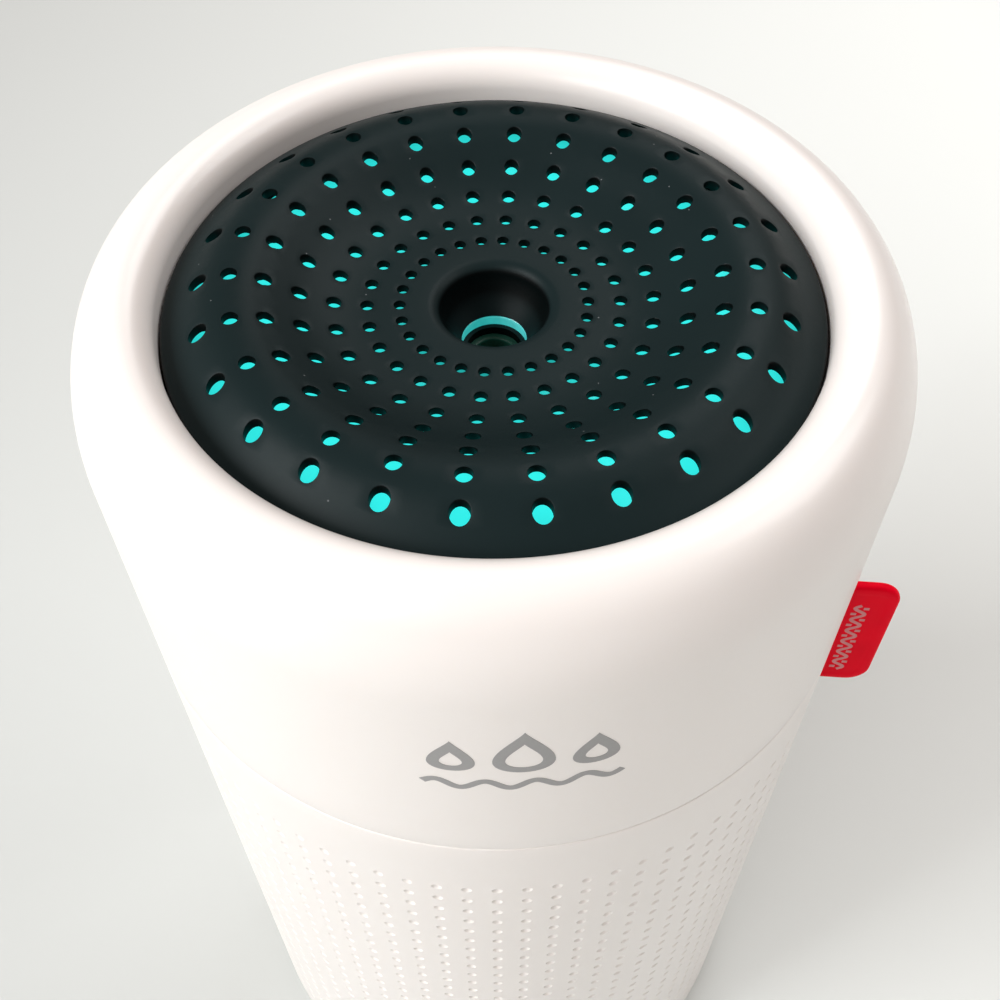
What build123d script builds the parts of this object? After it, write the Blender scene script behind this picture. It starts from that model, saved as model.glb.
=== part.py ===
"""Portable ultrasonic mist diffuser: a water tank in a dimpled sleeve, and a lift-off mist head.

Millimetres, +Z up.  The origin is the centre of the foot's underside, and -Y is the front.
"""
from build123d import *
import os
from math import cos, radians, sin, tan

os.makedirs("parts", exist_ok=True)

# Overall shape
body_r = 47.5
height = 175.0
sleeve_top = 129.5
head_bottom = 129.7
fit_gap = 0.1
curve_gap = 0.3
edge_break = 0.3
deep_cut = 10.0

# Foot and base
foot_r, foot_h = 36.0, 1.6
base_bottom, base_flange_z, base_top = 0.8, 2.8, 5.8
base_corner_r = 4.0
base_screw_ring_r = 30.0

# Sleeve and tank
sleeve_wall, sleeve_bore_r = 2.0, body_r - 2.0
sleeve_mouth_r = 41.0
tank_r, tank_wall = 43.5, 1.6
tank_bore_r = tank_r - tank_wall
tank_floor_z, tank_top = 14.0, 128.9
lip_h = 1.6

# Side tag, held in a slot of the sleeve
tag_angle = -8.0
tag_low, tag_high, tag_out_r, tag_t = 93.2, 118.8, 58.3, 1.5
tag_corner_r = 3.5

# Mist head shell and rim
shell_bore_r = 45.3
rim_round_r, rim_round_h = 7.1, 12.0
rim_bore_r, rim_lip_round = 37.1, 3.3
ledge_r, ledge_low, ledge_top = 33.0, 163.4, 165.0
shell_hollow = ((39.4, 170.8), (40.6, 172.6), (42.4, 171.6), (44.4, 168.0), (shell_bore_r, 163.0))
boss_start_angle, boss_rib_w, boss_rib_l = 30, 4.0, 3.0
boss_ring_r, boss_r, boss_top = 41.3, 3.2, 145.0

# Perforated cover
cover_wall = 1.0
dish_z, dish_flat_r, dish_round = 169.55, 13.5, 16.2
dish_slope = radians(31.2)
crest_r, crest_z, crest_in_round, crest_out_round = 28.5, 174.65, 6.7, 6.8
brim_slope = radians(35.0)
cover_r, cover_edge_round, cover_skirt_z = 36.9, 1.2, 166.2
mouth_r, mouth_round, throat_r, throat_z = 6.0, 1.5, 3.75, 163.9
funnel_back_r = 8.2
hole_columns, hole_start_angle = 26, -85.3
first_hole_ring_r, hole_ring_step = 10.56, 3.64
hole_diameters = (1.30, 1.45, 1.60, 1.65, 1.77, 1.80, 2.10)

# Light parts
diffuser_t, diffuser_bore_r, diffuser_r = 1.2, 7.3, 36.9
light_ring_in_r, light_ring_out_r, light_ring_low, light_ring_high = 3.75, 6.0, 162.6, 163.8
led_board_in_r, led_board_out_r, led_board_low, led_board_t = 19.0, 31.5, 157.6, 1.4
led_ring_r, led_count = 25.0, 8

# Chassis that closes the mist head from below
chassis_low, chassis_top, chassis_r = 129.0, 131.2, 45.1
skirt_r, skirt_wall, skirt_low = 40.9, 2.0, 119.0
seal_low, seal_high, seal_depth = 122.0, 124.0, 1.0
chimney_r, chimney_bore_r, chimney_top = 10.6, 8.6, 159.3
seat_low, seat_r, shelf_low, shelf_bore_r = 156.8, 9.2, 155.0, 5.2
post_r, pilot_r, pilot_depth = 2.8, 1.35, 9.3
retainer_post_x, led_post_ring_r = 15.5, 28.5
housing_screw_head_r, housing_screw_head_h = 2.8, 1.3
small_head_r, small_head_h = 2.3, 1.3

# Atomizer stack
stack_low, stack_high, disc_r = 157.6, 158.6, 8.0
mesh_t, piezo_in_r, piezo_t = 0.2, 4.0, 0.7
retainer_high, retainer_r, retainer_bore_r = 162.6, 13.0, 3.2
gasket_lip_r = 2.7

# Wick column
wick_r, wick_low, wick_high = 4.8, 27.6, 157.4
tube_r, tube_bore_r, tube_low, tube_high = 6.6, 5.1, 20.0, 152.0
collar_r, collar_low = 8.5, 119.5
inlet_z, inlet_w, inlet_h = 36.0, 2.6, 14.0
cap_low, cap_high, cap_r, cap_floor_t = 17.5, 24.0, 7.9, 1.6
spring_wire_r, spring_r, spring_pitch, spring_low, spring_h = 0.35, 3.6, 1.7, 19.5, 7.5

# Electronics
board_y, board_t, board_w, board_low, board_high = 38.0, 1.2, 34.0, 132.5, 158.5
board_screw_x, board_screw_z, board_screw_r = 13.0, 136.0, 1.0
board_post_d, board_post_h = 4.2, 11.0
button_z, button_r, button_out_y, button_flange_t = 152.0, 5.0, 47.9, 0.8
port_z, port_w, port_h, port_mouth_y = 138.5, 9.0, 3.3, 45.9
port_wall, port_tongue_w, port_tongue_t = 0.3, 6.6, 0.7
recess_w, recess_h, recess_y = 13.6, 8.1, 46.0
plug_root_y, plug_flange_y = 42.0, 46.1
switch_w, switch_t, switch_bore_r, plunger_r, plunger_l = 6.2, 3.4, 1.75, 1.7, 3.4
cell_r, cell_length, cell_y, cell_z = 9.1, 65.0, -21.2, 141.6
wire_r, lead_z, lead_bend = 0.7, 144.6, 2.0


def turned_face(*points):
    """The closed half section of a turned piece, from its (radius, height) points."""
    with BuildSketch(Plane.XZ) as section:
        with BuildLine():
            Polyline(*points, close=True)
        make_face()
    return section.sketch


def ring(inner_r, outer_r, low, high):
    """The half section of a plain ring."""
    return turned_face((inner_r, low), (outer_r, low), (outer_r, high), (inner_r, high))


def rear_plane(y):
    """A plane that faces the rear, with its own x to the left and y up."""
    return Plane(origin=(0, y, 0), x_dir=(-1, 0, 0), z_dir=(0, 1, 0))


def screw(head_r, head_h, shank_r, shank_h):
    """A cross-head screw standing on its head's outer face, with its shank up."""
    with BuildPart() as one_screw:
        Cylinder(head_r, head_h, align=(Align.CENTER, Align.CENTER, Align.MIN))
        chamfer(one_screw.edges().sort_by(Axis.Z)[0], 0.4)
        with BuildSketch(Plane.XY.offset(head_h)):
            Circle(shank_r)
        extrude(amount=shank_h)
        with BuildSketch():
            Rectangle(head_r * 1.1, 0.7)
            Rectangle(0.7, head_r * 1.1)
        extrude(amount=head_h * 0.6, mode=Mode.SUBTRACT)
    return one_screw.part


# ---------------------------------------------------------------- lower unit

with BuildPart() as foot_pad:
    Cylinder(foot_r, foot_h, align=(Align.CENTER, Align.CENTER, Align.MIN))
    fillet(foot_pad.edges().group_by(Axis.Z)[0], 0.5)

base_screw_head_r, base_screw_head_h, base_screw_shank_r = 2.9, 1.8, 1.45
base_screw_low = foot_h + 0.1
with BuildPart() as base_plate:
    revolve(turned_face(
        (0, foot_h), (foot_r + 0.2, foot_h), (foot_r + 0.2, base_bottom),
        (sleeve_mouth_r - fit_gap, base_bottom), (sleeve_mouth_r - fit_gap, base_flange_z),
        (sleeve_bore_r - fit_gap, base_flange_z), (sleeve_bore_r - fit_gap, base_top), (0, base_top),
    ), axis=Axis.Z)
    with BuildSketch(Plane.XY.offset(foot_h)):
        with PolarLocations(base_screw_ring_r, 3):
            Circle(base_screw_head_r + fit_gap)
    extrude(amount=base_screw_head_h + 0.1, mode=Mode.SUBTRACT)
    with BuildSketch(Plane.XY.offset(foot_h)):
        with PolarLocations(base_screw_ring_r, 3):
            Circle(base_screw_shank_r + fit_gap)
    extrude(amount=base_top - foot_h, mode=Mode.SUBTRACT)

with BuildPart(Plane.XY.offset(base_screw_low)) as base_screws:
    with PolarLocations(base_screw_ring_r, 3):
        add(screw(base_screw_head_r, base_screw_head_h, base_screw_shank_r, 8.0))

with BuildPart() as outer_sleeve:
    with BuildSketch(Plane.XZ):
        with BuildLine():
            Polyline((sleeve_mouth_r, base_flange_z), (sleeve_mouth_r, base_bottom),
                     (body_r - base_corner_r, base_bottom))
            RadiusArc((body_r - base_corner_r, base_bottom), (body_r, base_bottom + base_corner_r),
                      -base_corner_r)
            Polyline((body_r, base_bottom + base_corner_r), (body_r, sleeve_top - edge_break),
                     (body_r - edge_break, sleeve_top), (sleeve_bore_r, sleeve_top),
                     (sleeve_bore_r, base_flange_z), (sleeve_mouth_r, base_flange_z))
        make_face()
    revolve(axis=Axis.Z)
    tag_mid_z = (tag_low + tag_high) / 2
    with Locations(Rotation(0, 0, tag_angle) * Location((body_r - sleeve_wall / 2, 0, tag_mid_z))):
        Box(sleeve_wall * 3, tag_t + 2 * fit_gap, tag_high - tag_low + 2 * fit_gap, mode=Mode.SUBTRACT)

with BuildPart() as inner_tank:
    revolve(turned_face(
        (0, tank_floor_z), (tank_r - 2, tank_floor_z), (tank_r, tank_floor_z + 2),
        (tank_r, tank_top - lip_h),
        (sleeve_bore_r - fit_gap, tank_top - lip_h), (sleeve_bore_r - fit_gap, tank_top),
        (tank_bore_r, tank_top), (tank_bore_r, tank_floor_z + tank_wall + 1.5),
        (tank_bore_r - 1.5, tank_floor_z + tank_wall), (0, tank_floor_z + tank_wall),
    ), axis=Axis.Z)
    with BuildSketch(Plane.XY.offset(base_top)):
        with PolarLocations(base_screw_ring_r, 3):
            Circle(4.0)
    extrude(amount=tank_floor_z - base_top)
    with BuildSketch(Plane.XY.offset(base_top)):
        with PolarLocations(base_screw_ring_r, 3):
            Circle(base_screw_shank_r + 0.05)
    extrude(amount=tank_floor_z - base_top - 1, mode=Mode.SUBTRACT)

tag_a = radians(tag_angle)
tag_plane = Plane(origin=(0, 0, 0), x_dir=(cos(tag_a), sin(tag_a), 0), z_dir=(sin(tag_a), -cos(tag_a), 0))
with BuildPart() as side_tag:
    with BuildSketch(tag_plane):
        with BuildLine():
            FilletPolyline((45.0, tag_low), (tag_out_r, tag_low), (tag_out_r, tag_high), (45.0, tag_high),
                           radius=tag_corner_r)
            Line((45.0, tag_high), (45.0, tag_low))
        make_face()
    extrude(amount=tag_t / 2, both=True)
    fillet(side_tag.edges().filter_by(lambda e: e.center().X > 46.5), 0.35)
    with BuildSketch(tag_plane):
        with Locations((44.6, (tag_low + tag_high) / 2)):
            Rectangle(1.2, tag_high - tag_low - 1.6)
    extrude(amount=3.0, both=True)

# ---------------------------------------------------------------- mist head shell

with BuildPart() as upper_housing:
    rim_shoulder_z = height - rim_round_h
    rim_crest_r = body_r - rim_round_r
    with BuildSketch(Plane.XZ):
        with BuildLine():
            Polyline((body_r - edge_break, head_bottom), (body_r, head_bottom + edge_break),
                     (body_r, rim_shoulder_z))
            EllipticalCenterArc((rim_crest_r, rim_shoulder_z), rim_round_r, rim_round_h,
                                start_angle=0, arc_size=90)
            RadiusArc((rim_crest_r, height), (rim_bore_r, height - rim_lip_round), -rim_lip_round)
            Polyline((rim_bore_r, height - rim_lip_round), (rim_bore_r, ledge_top), (ledge_r, ledge_top),
                     (ledge_r, ledge_low), (shell_hollow[0][0], ledge_low), *shell_hollow,
                     (shell_bore_r, head_bottom), (body_r - edge_break, head_bottom))
        make_face()
    revolve(axis=Axis.Z)
    with BuildSketch(Plane.XY.offset(chassis_top)):
        with PolarLocations(boss_ring_r, 3, start_angle=boss_start_angle):
            Circle(boss_r)
        with PolarLocations(boss_ring_r + boss_r, 3, start_angle=boss_start_angle):
            Rectangle(boss_rib_l, boss_rib_w)
        Circle(shell_bore_r + 0.5, mode=Mode.INTERSECT)
    extrude(amount=boss_top - chassis_top)
    with BuildSketch(Plane.XY.offset(chassis_top)):
        with PolarLocations(boss_ring_r, 3, start_angle=boss_start_angle):
            Circle(pilot_r)
    extrude(amount=boss_top - chassis_top - 2, mode=Mode.SUBTRACT)
    with BuildSketch(rear_plane(board_y + 2)):
        with Locations((0, button_z)):
            Circle(button_r + curve_gap)
        with Locations((0, port_z)):
            SlotOverall(port_w + 2 * curve_gap, port_h + 2 * curve_gap)
    extrude(amount=deep_cut, mode=Mode.SUBTRACT)
    with BuildSketch(rear_plane(recess_y)):
        with Locations((0, port_z)):
            SlotOverall(recess_w, recess_h)
    extrude(amount=deep_cut, mode=Mode.SUBTRACT)

with BuildPart() as top_cover:
    slope_in = (dish_flat_r + dish_round * sin(dish_slope), dish_z + dish_round * (1 - cos(dish_slope)))
    in_z, out_z = crest_z - crest_in_round, crest_z - crest_out_round
    crest_in = (crest_r - crest_in_round * sin(dish_slope), in_z + crest_in_round * cos(dish_slope))
    under_round, under_crest = dish_round + cover_wall, crest_in_round - cover_wall
    under_z = dish_z - cover_wall
    under_in = (dish_flat_r + under_round * sin(dish_slope), under_z + under_round * (1 - cos(dish_slope)))
    under_out = (crest_r - under_crest * sin(dish_slope), in_z + under_crest * cos(dish_slope))
    under_brim = crest_out_round - cover_wall
    brim_top = (crest_r + crest_out_round * sin(brim_slope), out_z + crest_out_round * cos(brim_slope))
    brim_under = (crest_r + under_brim * sin(brim_slope), out_z + under_brim * cos(brim_slope))
    inner_skirt_r = cover_r - cover_wall
    corner_z = brim_top[1] - (cover_r - brim_top[0]) * tan(brim_slope)
    corner_cut = cover_edge_round * tan((radians(90) - brim_slope) / 2)
    bevel_end = (cover_r - corner_cut * cos(brim_slope), corner_z + corner_cut * sin(brim_slope))
    under_corner = (inner_skirt_r, brim_under[1] - (inner_skirt_r - brim_under[0]) * tan(brim_slope))
    with BuildSketch(Plane.XZ):
        with BuildLine():
            Line((throat_r, throat_z), (mouth_r, dish_z - mouth_round))
            RadiusArc((mouth_r, dish_z - mouth_round), (mouth_r + mouth_round, dish_z), mouth_round)
            Line((mouth_r + mouth_round, dish_z), (dish_flat_r, dish_z))
            RadiusArc((dish_flat_r, dish_z), slope_in, -dish_round)
            Line(slope_in, crest_in)
            RadiusArc(crest_in, (crest_r, crest_z), crest_in_round)
            RadiusArc((crest_r, crest_z), brim_top, crest_out_round)
            Line(brim_top, bevel_end)
            RadiusArc(bevel_end, (cover_r, corner_z - corner_cut), cover_edge_round)
            Polyline((cover_r, corner_z - corner_cut), (cover_r, cover_skirt_z),
                     (inner_skirt_r, cover_skirt_z), under_corner, brim_under)
            RadiusArc(brim_under, (crest_r, crest_z - cover_wall), -under_brim)
            RadiusArc((crest_r, crest_z - cover_wall), under_out, -under_crest)
            Line(under_out, under_in)
            RadiusArc(under_in, (dish_flat_r, under_z), under_round)
            Polyline((dish_flat_r, under_z), (funnel_back_r, under_z), (throat_r + cover_wall, throat_z),
                     (throat_r, throat_z))
        make_face()
    revolve(axis=Axis.Z)
    with BuildSketch(Plane.XY.offset(dish_z - 3)):
        for ring_number, hole_d in enumerate(hole_diameters):
            ring_r = first_hole_ring_r + ring_number * hole_ring_step
            with PolarLocations(ring_r, hole_columns, start_angle=hole_start_angle):
                Circle(hole_d / 2)
    extrude(amount=deep_cut, mode=Mode.SUBTRACT)

with BuildPart() as light_diffuser:
    revolve(ring(diffuser_bore_r, diffuser_r, ledge_top, ledge_top + diffuser_t), axis=Axis.Z)

with BuildPart() as nozzle_light_ring:
    revolve(ring(light_ring_in_r, light_ring_out_r, light_ring_low, light_ring_high), axis=Axis.Z)
    fillet(nozzle_light_ring.edges().group_by(Axis.Z)[-1], 0.3)

# ---------------------------------------------------------------- chassis and seals

with BuildPart() as bottom_cover:
    revolve(turned_face(
        (chimney_bore_r, skirt_low), (chimney_r, skirt_low), (chimney_r, chassis_low),
        (skirt_r - skirt_wall, chassis_low), (skirt_r - skirt_wall, skirt_low), (skirt_r, skirt_low),
        (skirt_r, seal_low), (skirt_r - seal_depth, seal_low), (skirt_r - seal_depth, seal_high),
        (skirt_r, seal_high), (skirt_r, chassis_low), (chassis_r, chassis_low), (chassis_r, chassis_top),
        (chimney_r, chassis_top), (chimney_r, chimney_top), (seat_r, chimney_top), (seat_r, seat_low),
        (shelf_bore_r, seat_low), (shelf_bore_r, shelf_low), (chimney_bore_r, shelf_low),
    ), axis=Axis.Z)
    with BuildSketch(Plane.XY.offset(chassis_top)):
        with PolarLocations(retainer_post_x, 2):
            Circle(post_r)
        with PolarLocations((chimney_r + retainer_post_x) / 2, 2):
            Rectangle(retainer_post_x - chimney_r + 1, 1.6)
        Circle(chimney_bore_r + 1, mode=Mode.SUBTRACT)
    extrude(amount=chimney_top - chassis_top)
    with BuildSketch(Plane.XY.offset(chassis_top)):
        with PolarLocations(led_post_ring_r, 3, angular_range=180, endpoint=True):
            Circle(post_r)
    extrude(amount=led_board_low - chassis_top)
    with BuildSketch(Plane.XY.offset(chassis_top)):
        for post_x in (-board_screw_x, board_screw_x):
            with Locations((post_x, board_y - board_post_d / 2)):
                Rectangle(5, board_post_d)
    extrude(amount=board_post_h)
    with BuildSketch(Plane.XY.offset(chimney_top - pilot_depth)):
        with PolarLocations(retainer_post_x, 2):
            Circle(pilot_r)
        with PolarLocations(led_post_ring_r, 3, angular_range=180, endpoint=True):
            Circle(pilot_r)
    extrude(amount=pilot_depth, mode=Mode.SUBTRACT)
    with BuildSketch(Plane.XY.offset(chassis_low)):
        with PolarLocations(boss_ring_r, 3, start_angle=boss_start_angle):
            Circle(pilot_r + fit_gap)
    extrude(amount=deep_cut / 2, mode=Mode.SUBTRACT)
    with BuildSketch(Plane.XY.offset(chassis_low)):
        with PolarLocations(boss_ring_r, 3, start_angle=boss_start_angle):
            Circle(housing_screw_head_r + fit_gap)
    extrude(amount=housing_screw_head_h + fit_gap, mode=Mode.SUBTRACT)
    with BuildSketch(rear_plane(board_y - 3.6)):
        with Locations((-board_screw_x, board_screw_z), (board_screw_x, board_screw_z)):
            Circle(board_screw_r + 0.05)
    extrude(amount=deep_cut / 2, mode=Mode.SUBTRACT)

with BuildPart() as seal_ring:
    revolve(ring(skirt_r - seal_depth, tank_bore_r - curve_gap, seal_low + fit_gap, seal_high - fit_gap),
            axis=Axis.Z)
    fillet(seal_ring.edges().filter_by(GeomType.CIRCLE).filter_by(lambda e: e.radius > skirt_r), 0.5)

with BuildPart(Plane.XY.offset(chassis_low + 0.1)) as housing_screws:
    with PolarLocations(boss_ring_r, 3, start_angle=boss_start_angle):
        add(screw(housing_screw_head_r, housing_screw_head_h, pilot_r - 0.05, 7.6))

# ---------------------------------------------------------------- atomizer

with BuildPart() as atomizer_gasket:
    revolve(turned_face(
        (shelf_bore_r, seat_low), (seat_r - 0.05, seat_low), (seat_r - 0.05, chimney_top),
        (gasket_lip_r, chimney_top), (gasket_lip_r, stack_high), (disc_r + 0.05, stack_high),
        (disc_r + 0.05, stack_low), (shelf_bore_r, stack_low),
    ), axis=Axis.Z)

with BuildPart() as mesh_plate:
    with BuildSketch(Plane.XY.offset(stack_low)):
        Circle(disc_r)
    extrude(amount=mesh_t)

with BuildPart() as piezo_ring:
    revolve(ring(piezo_in_r, disc_r, stack_low + mesh_t, stack_low + mesh_t + piezo_t), axis=Axis.Z)

with BuildPart() as atomizer_retainer:
    with BuildSketch(Plane.XY.offset(chimney_top)):
        Circle(retainer_r)
        SlotOverall(2 * (retainer_post_x + 3.0), 6.0)
        Circle(retainer_bore_r, mode=Mode.SUBTRACT)
        with PolarLocations(retainer_post_x, 2):
            Circle(pilot_r + 0.1, mode=Mode.SUBTRACT)
    extrude(amount=retainer_high - chimney_top)

with BuildPart(Plane(origin=(0, 0, retainer_high + small_head_h), z_dir=(0, 0, -1))) as retainer_screws:
    with PolarLocations(retainer_post_x, 2):
        add(screw(small_head_r, small_head_h, pilot_r - 0.05, 8.0))

# ---------------------------------------------------------------- lights

led_board_top = led_board_low + led_board_t
with BuildPart() as led_board:
    with BuildSketch(Plane.XY.offset(led_board_low)):
        Circle(led_board_out_r)
        Circle(led_board_in_r, mode=Mode.SUBTRACT)
        with PolarLocations(led_post_ring_r, 3, angular_range=180, endpoint=True):
            Circle(pilot_r + 0.1, mode=Mode.SUBTRACT)
    extrude(amount=led_board_t)

led_screw_plane = Plane(origin=(0, 0, led_board_top + small_head_h), x_dir=(-1, 0, 0), z_dir=(0, 0, -1))
with BuildPart(led_screw_plane) as led_board_screws:
    with PolarLocations(led_post_ring_r, 3, angular_range=180, endpoint=True):
        add(screw(small_head_r, small_head_h, pilot_r - 0.05, 7.0))

with BuildPart(Plane.XY.offset(led_board_top)) as leds:
    with PolarLocations(led_ring_r, led_count, start_angle=22.5):
        Box(2.8, 3.5, 1.6, align=(Align.CENTER, Align.CENTER, Align.MIN))

# ---------------------------------------------------------------- power and control

board_back = board_y + board_t
with BuildPart() as control_board:
    with BuildSketch(rear_plane(board_y)):
        with Locations((0, (board_low + board_high) / 2)):
            RectangleRounded(board_w, board_high - board_low, 1.5)
        with Locations((-board_screw_x, board_screw_z), (board_screw_x, board_screw_z)):
            Circle(board_screw_r + 0.15, mode=Mode.SUBTRACT)
    extrude(amount=board_t)

with BuildPart(Plane(origin=(0, board_back + 1.2, 0), x_dir=(1, 0, 0), z_dir=(0, -1, 0))) as board_screws:
    with Locations((-board_screw_x, board_screw_z), (board_screw_x, board_screw_z)):
        add(screw(1.9, 1.2, board_screw_r, 4.6))

with BuildPart() as control_chips:
    with Locations((-9, board_y - 0.7, 152), (8, board_y - 0.7, 148)):
        Box(6, 1.4, 6)
    with Locations((0, board_y - 0.5, 146.5), (2.5, board_y - 0.5, 153)):
        Box(2.4, 1.0, 1.4)
    with Locations(Location((10, board_y, 155), (90, 0, 0))):
        Cylinder(2.6, 3.4, align=(Align.CENTER, Align.CENTER, Align.MIN))

with BuildPart() as usb_socket:
    with BuildSketch(rear_plane(board_back)):
        with Locations((0, port_z)):
            SlotOverall(port_w, port_h)
    extrude(amount=port_mouth_y - board_back)
    with BuildSketch(rear_plane(board_back + 0.8)):
        with Locations((0, port_z)):
            SlotOverall(port_w - 2 * port_wall, port_h - 2 * port_wall)
            Rectangle(port_tongue_w, port_tongue_t, mode=Mode.SUBTRACT)
    extrude(amount=deep_cut, mode=Mode.SUBTRACT)
    with BuildSketch(rear_plane(port_mouth_y - 0.9)):
        with Locations((0, port_z)):
            SlotOverall(port_w - 2 * port_wall, port_h - 2 * port_wall)
    extrude(amount=2, mode=Mode.SUBTRACT)

with BuildPart() as tact_switch:
    with BuildSketch(rear_plane(board_back)):
        with Locations((0, button_z)):
            RectangleRounded(switch_w, switch_w, 0.5)
    extrude(amount=switch_t)
    with BuildSketch(rear_plane(board_back)):
        with Locations((0, button_z)):
            Circle(switch_bore_r)
    extrude(amount=switch_t, mode=Mode.SUBTRACT)

with BuildPart() as switch_plunger:
    with BuildSketch(rear_plane(board_back + 1.0)):
        with Locations((0, button_z)):
            Circle(plunger_r)
    extrude(amount=plunger_l)

plunger_out_y = board_back + 1.0 + plunger_l
with BuildPart() as power_button:
    with BuildSketch(rear_plane(plunger_out_y)):
        with Locations((0, button_z)):
            Circle(button_r + 0.6)
    extrude(amount=button_flange_t)
    with BuildSketch(rear_plane(plunger_out_y + button_flange_t)):
        with Locations((0, button_z)):
            Circle(button_r)
    extrude(amount=button_out_y - plunger_out_y - button_flange_t)
    fillet(power_button.edges().sort_by(Axis.Y)[-1], 0.6)
    with BuildSketch(rear_plane(button_out_y - 0.25)):
        with Locations((0, button_z)):
            Circle(button_r - 1.4)
    extrude(amount=1, mode=Mode.SUBTRACT)

with BuildPart() as usb_plug_cover:
    with BuildSketch(rear_plane(plug_flange_y)):
        with Locations((0, port_z)):
            SlotOverall(recess_w - 2 * curve_gap, recess_h - 2 * curve_gap)
    extrude(amount=4)
    with BuildSketch(Plane.XY.offset(port_z - recess_h)):
        Circle(body_r)
    extrude(amount=2 * recess_h, mode=Mode.INTERSECT)
    with BuildSketch(rear_plane(plug_root_y)):
        with Locations((0, port_z)):
            SlotOverall(port_w - 4 * port_wall, port_h - 4 * port_wall)
    extrude(amount=plug_flange_y - plug_root_y + fit_gap)
    with BuildSketch(rear_plane(plug_root_y)):
        with Locations((0, port_z)):
            Rectangle(port_tongue_w + 2 * curve_gap, port_tongue_t + 2 * curve_gap)
    extrude(amount=plug_flange_y - plug_root_y - 0.5, mode=Mode.SUBTRACT)

with BuildPart() as battery_cell:
    with BuildSketch(Plane.YZ.offset(-cell_length / 2)):
        with Locations((cell_y, cell_z)):
            Circle(cell_r)
    extrude(amount=cell_length)
    chamfer(battery_cell.edges().filter_by(GeomType.CIRCLE), 0.5)

saddle_wall = 1.5
saddle_top = cell_z + cell_r + saddle_wall
with BuildPart() as battery_holder:
    for saddle_x in (-26.0, 23.0):
        with BuildSketch(Plane.YZ.offset(saddle_x)):
            with Locations((cell_y, (chassis_top + saddle_top) / 2)):
                RectangleRounded(2 * (cell_r + saddle_wall), saddle_top - chassis_top, saddle_wall)
            with Locations((cell_y, cell_z)):
                Circle(cell_r + fit_gap, mode=Mode.SUBTRACT)
        extrude(amount=3.0)
    with BuildSketch(Plane.XY.offset(chassis_top)):
        with Locations((0, cell_y)):
            Rectangle(50.0, 12.0)
    extrude(amount=1.0)

with BuildPart() as battery_leads:
    for side in (-1, 1):
        with BuildLine() as lead_path:
            FilletPolyline(
                (side * cell_length / 2, cell_y, lead_z), (side * 37.0, cell_y, lead_z),
                (side * 41.0, -4.0, lead_z), (side * 31.0, 13.0, lead_z), (side * 25.0, 31.0, lead_z),
                (side * 12.0, 33.5, lead_z), (side * 12.0, board_y, lead_z), radius=lead_bend,
            )
        with BuildSketch(Plane(origin=lead_path.line @ 0, z_dir=lead_path.line % 0)):
            Circle(wire_r)
        sweep(path=lead_path.line)

# ---------------------------------------------------------------- wick column

with BuildPart() as wick_tube:
    revolve(turned_face(
        (tube_bore_r, tube_low), (tube_r, tube_low), (tube_r, collar_low), (collar_r, collar_low),
        (collar_r, collar_low + 8.5), (tube_r, collar_low + 10.5), (tube_r, tube_high),
        (tube_bore_r, tube_high),
    ), axis=Axis.Z)
    for slot_angle in (0, 90):
        with Locations(Location((0, 0, inlet_z), (0, 0, slot_angle))):
            Box(3 * tube_r, inlet_w, inlet_h, mode=Mode.SUBTRACT)

with BuildPart() as tube_cap:
    revolve(turned_face(
        (0, cap_low), (cap_r - 0.8, cap_low), (cap_r, cap_low + 0.8), (cap_r, cap_high),
        (tube_r + 0.05, cap_high), (tube_r + 0.05, cap_low + cap_floor_t), (0, cap_low + cap_floor_t),
    ), axis=Axis.Z)

with BuildPart() as wick:
    with BuildSketch(Plane.XY.offset(wick_low)):
        Circle(wick_r)
    extrude(amount=wick_high - wick_low)
    chamfer(wick.edges().sort_by(Axis.Z)[0], 0.6)

with BuildPart() as wick_spring:
    with BuildLine() as coil:
        Helix(pitch=spring_pitch, height=spring_h, radius=spring_r, center=(0, 0, spring_low))
    with BuildSketch(Plane(origin=coil.line @ 0, z_dir=coil.line % 0)):
        Circle(spring_wire_r)
    sweep(path=coil.line, is_frenet=True)

# ---------------------------------------------------------------- export

pieces = {
    "foot_pad": foot_pad, "base_plate": base_plate, "base_screws": base_screws,
    "outer_sleeve": outer_sleeve, "inner_tank": inner_tank, "side_tag": side_tag,
    "upper_housing": upper_housing, "top_cover": top_cover, "light_diffuser": light_diffuser,
    "nozzle_light_ring": nozzle_light_ring, "bottom_cover": bottom_cover, "seal_ring": seal_ring,
    "housing_screws": housing_screws, "atomizer_gasket": atomizer_gasket, "mesh_plate": mesh_plate,
    "piezo_ring": piezo_ring, "atomizer_retainer": atomizer_retainer,
    "retainer_screws": retainer_screws, "led_board": led_board, "led_board_screws": led_board_screws,
    "leds": leds, "control_board": control_board, "board_screws": board_screws,
    "control_chips": control_chips, "usb_socket": usb_socket, "tact_switch": tact_switch,
    "switch_plunger": switch_plunger, "power_button": power_button, "usb_plug_cover": usb_plug_cover,
    "battery_cell": battery_cell, "battery_holder": battery_holder, "battery_leads": battery_leads,
    "wick_tube": wick_tube, "tube_cap": tube_cap, "wick": wick, "wick_spring": wick_spring,
}
for label, piece in pieces.items():
    piece.part.label = label
    export_step(piece.part, f"parts/{label}.step")
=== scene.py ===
"""Builds the look of a portable mist diffuser around its CAD frame.

The frame gives the bodies and nodes in metres, +Z up, with the front at -Y.  Sizes here are in
millimetres until a vertex is made.  Each operator makes one piece or one group of like pieces.
"""
import math

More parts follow.
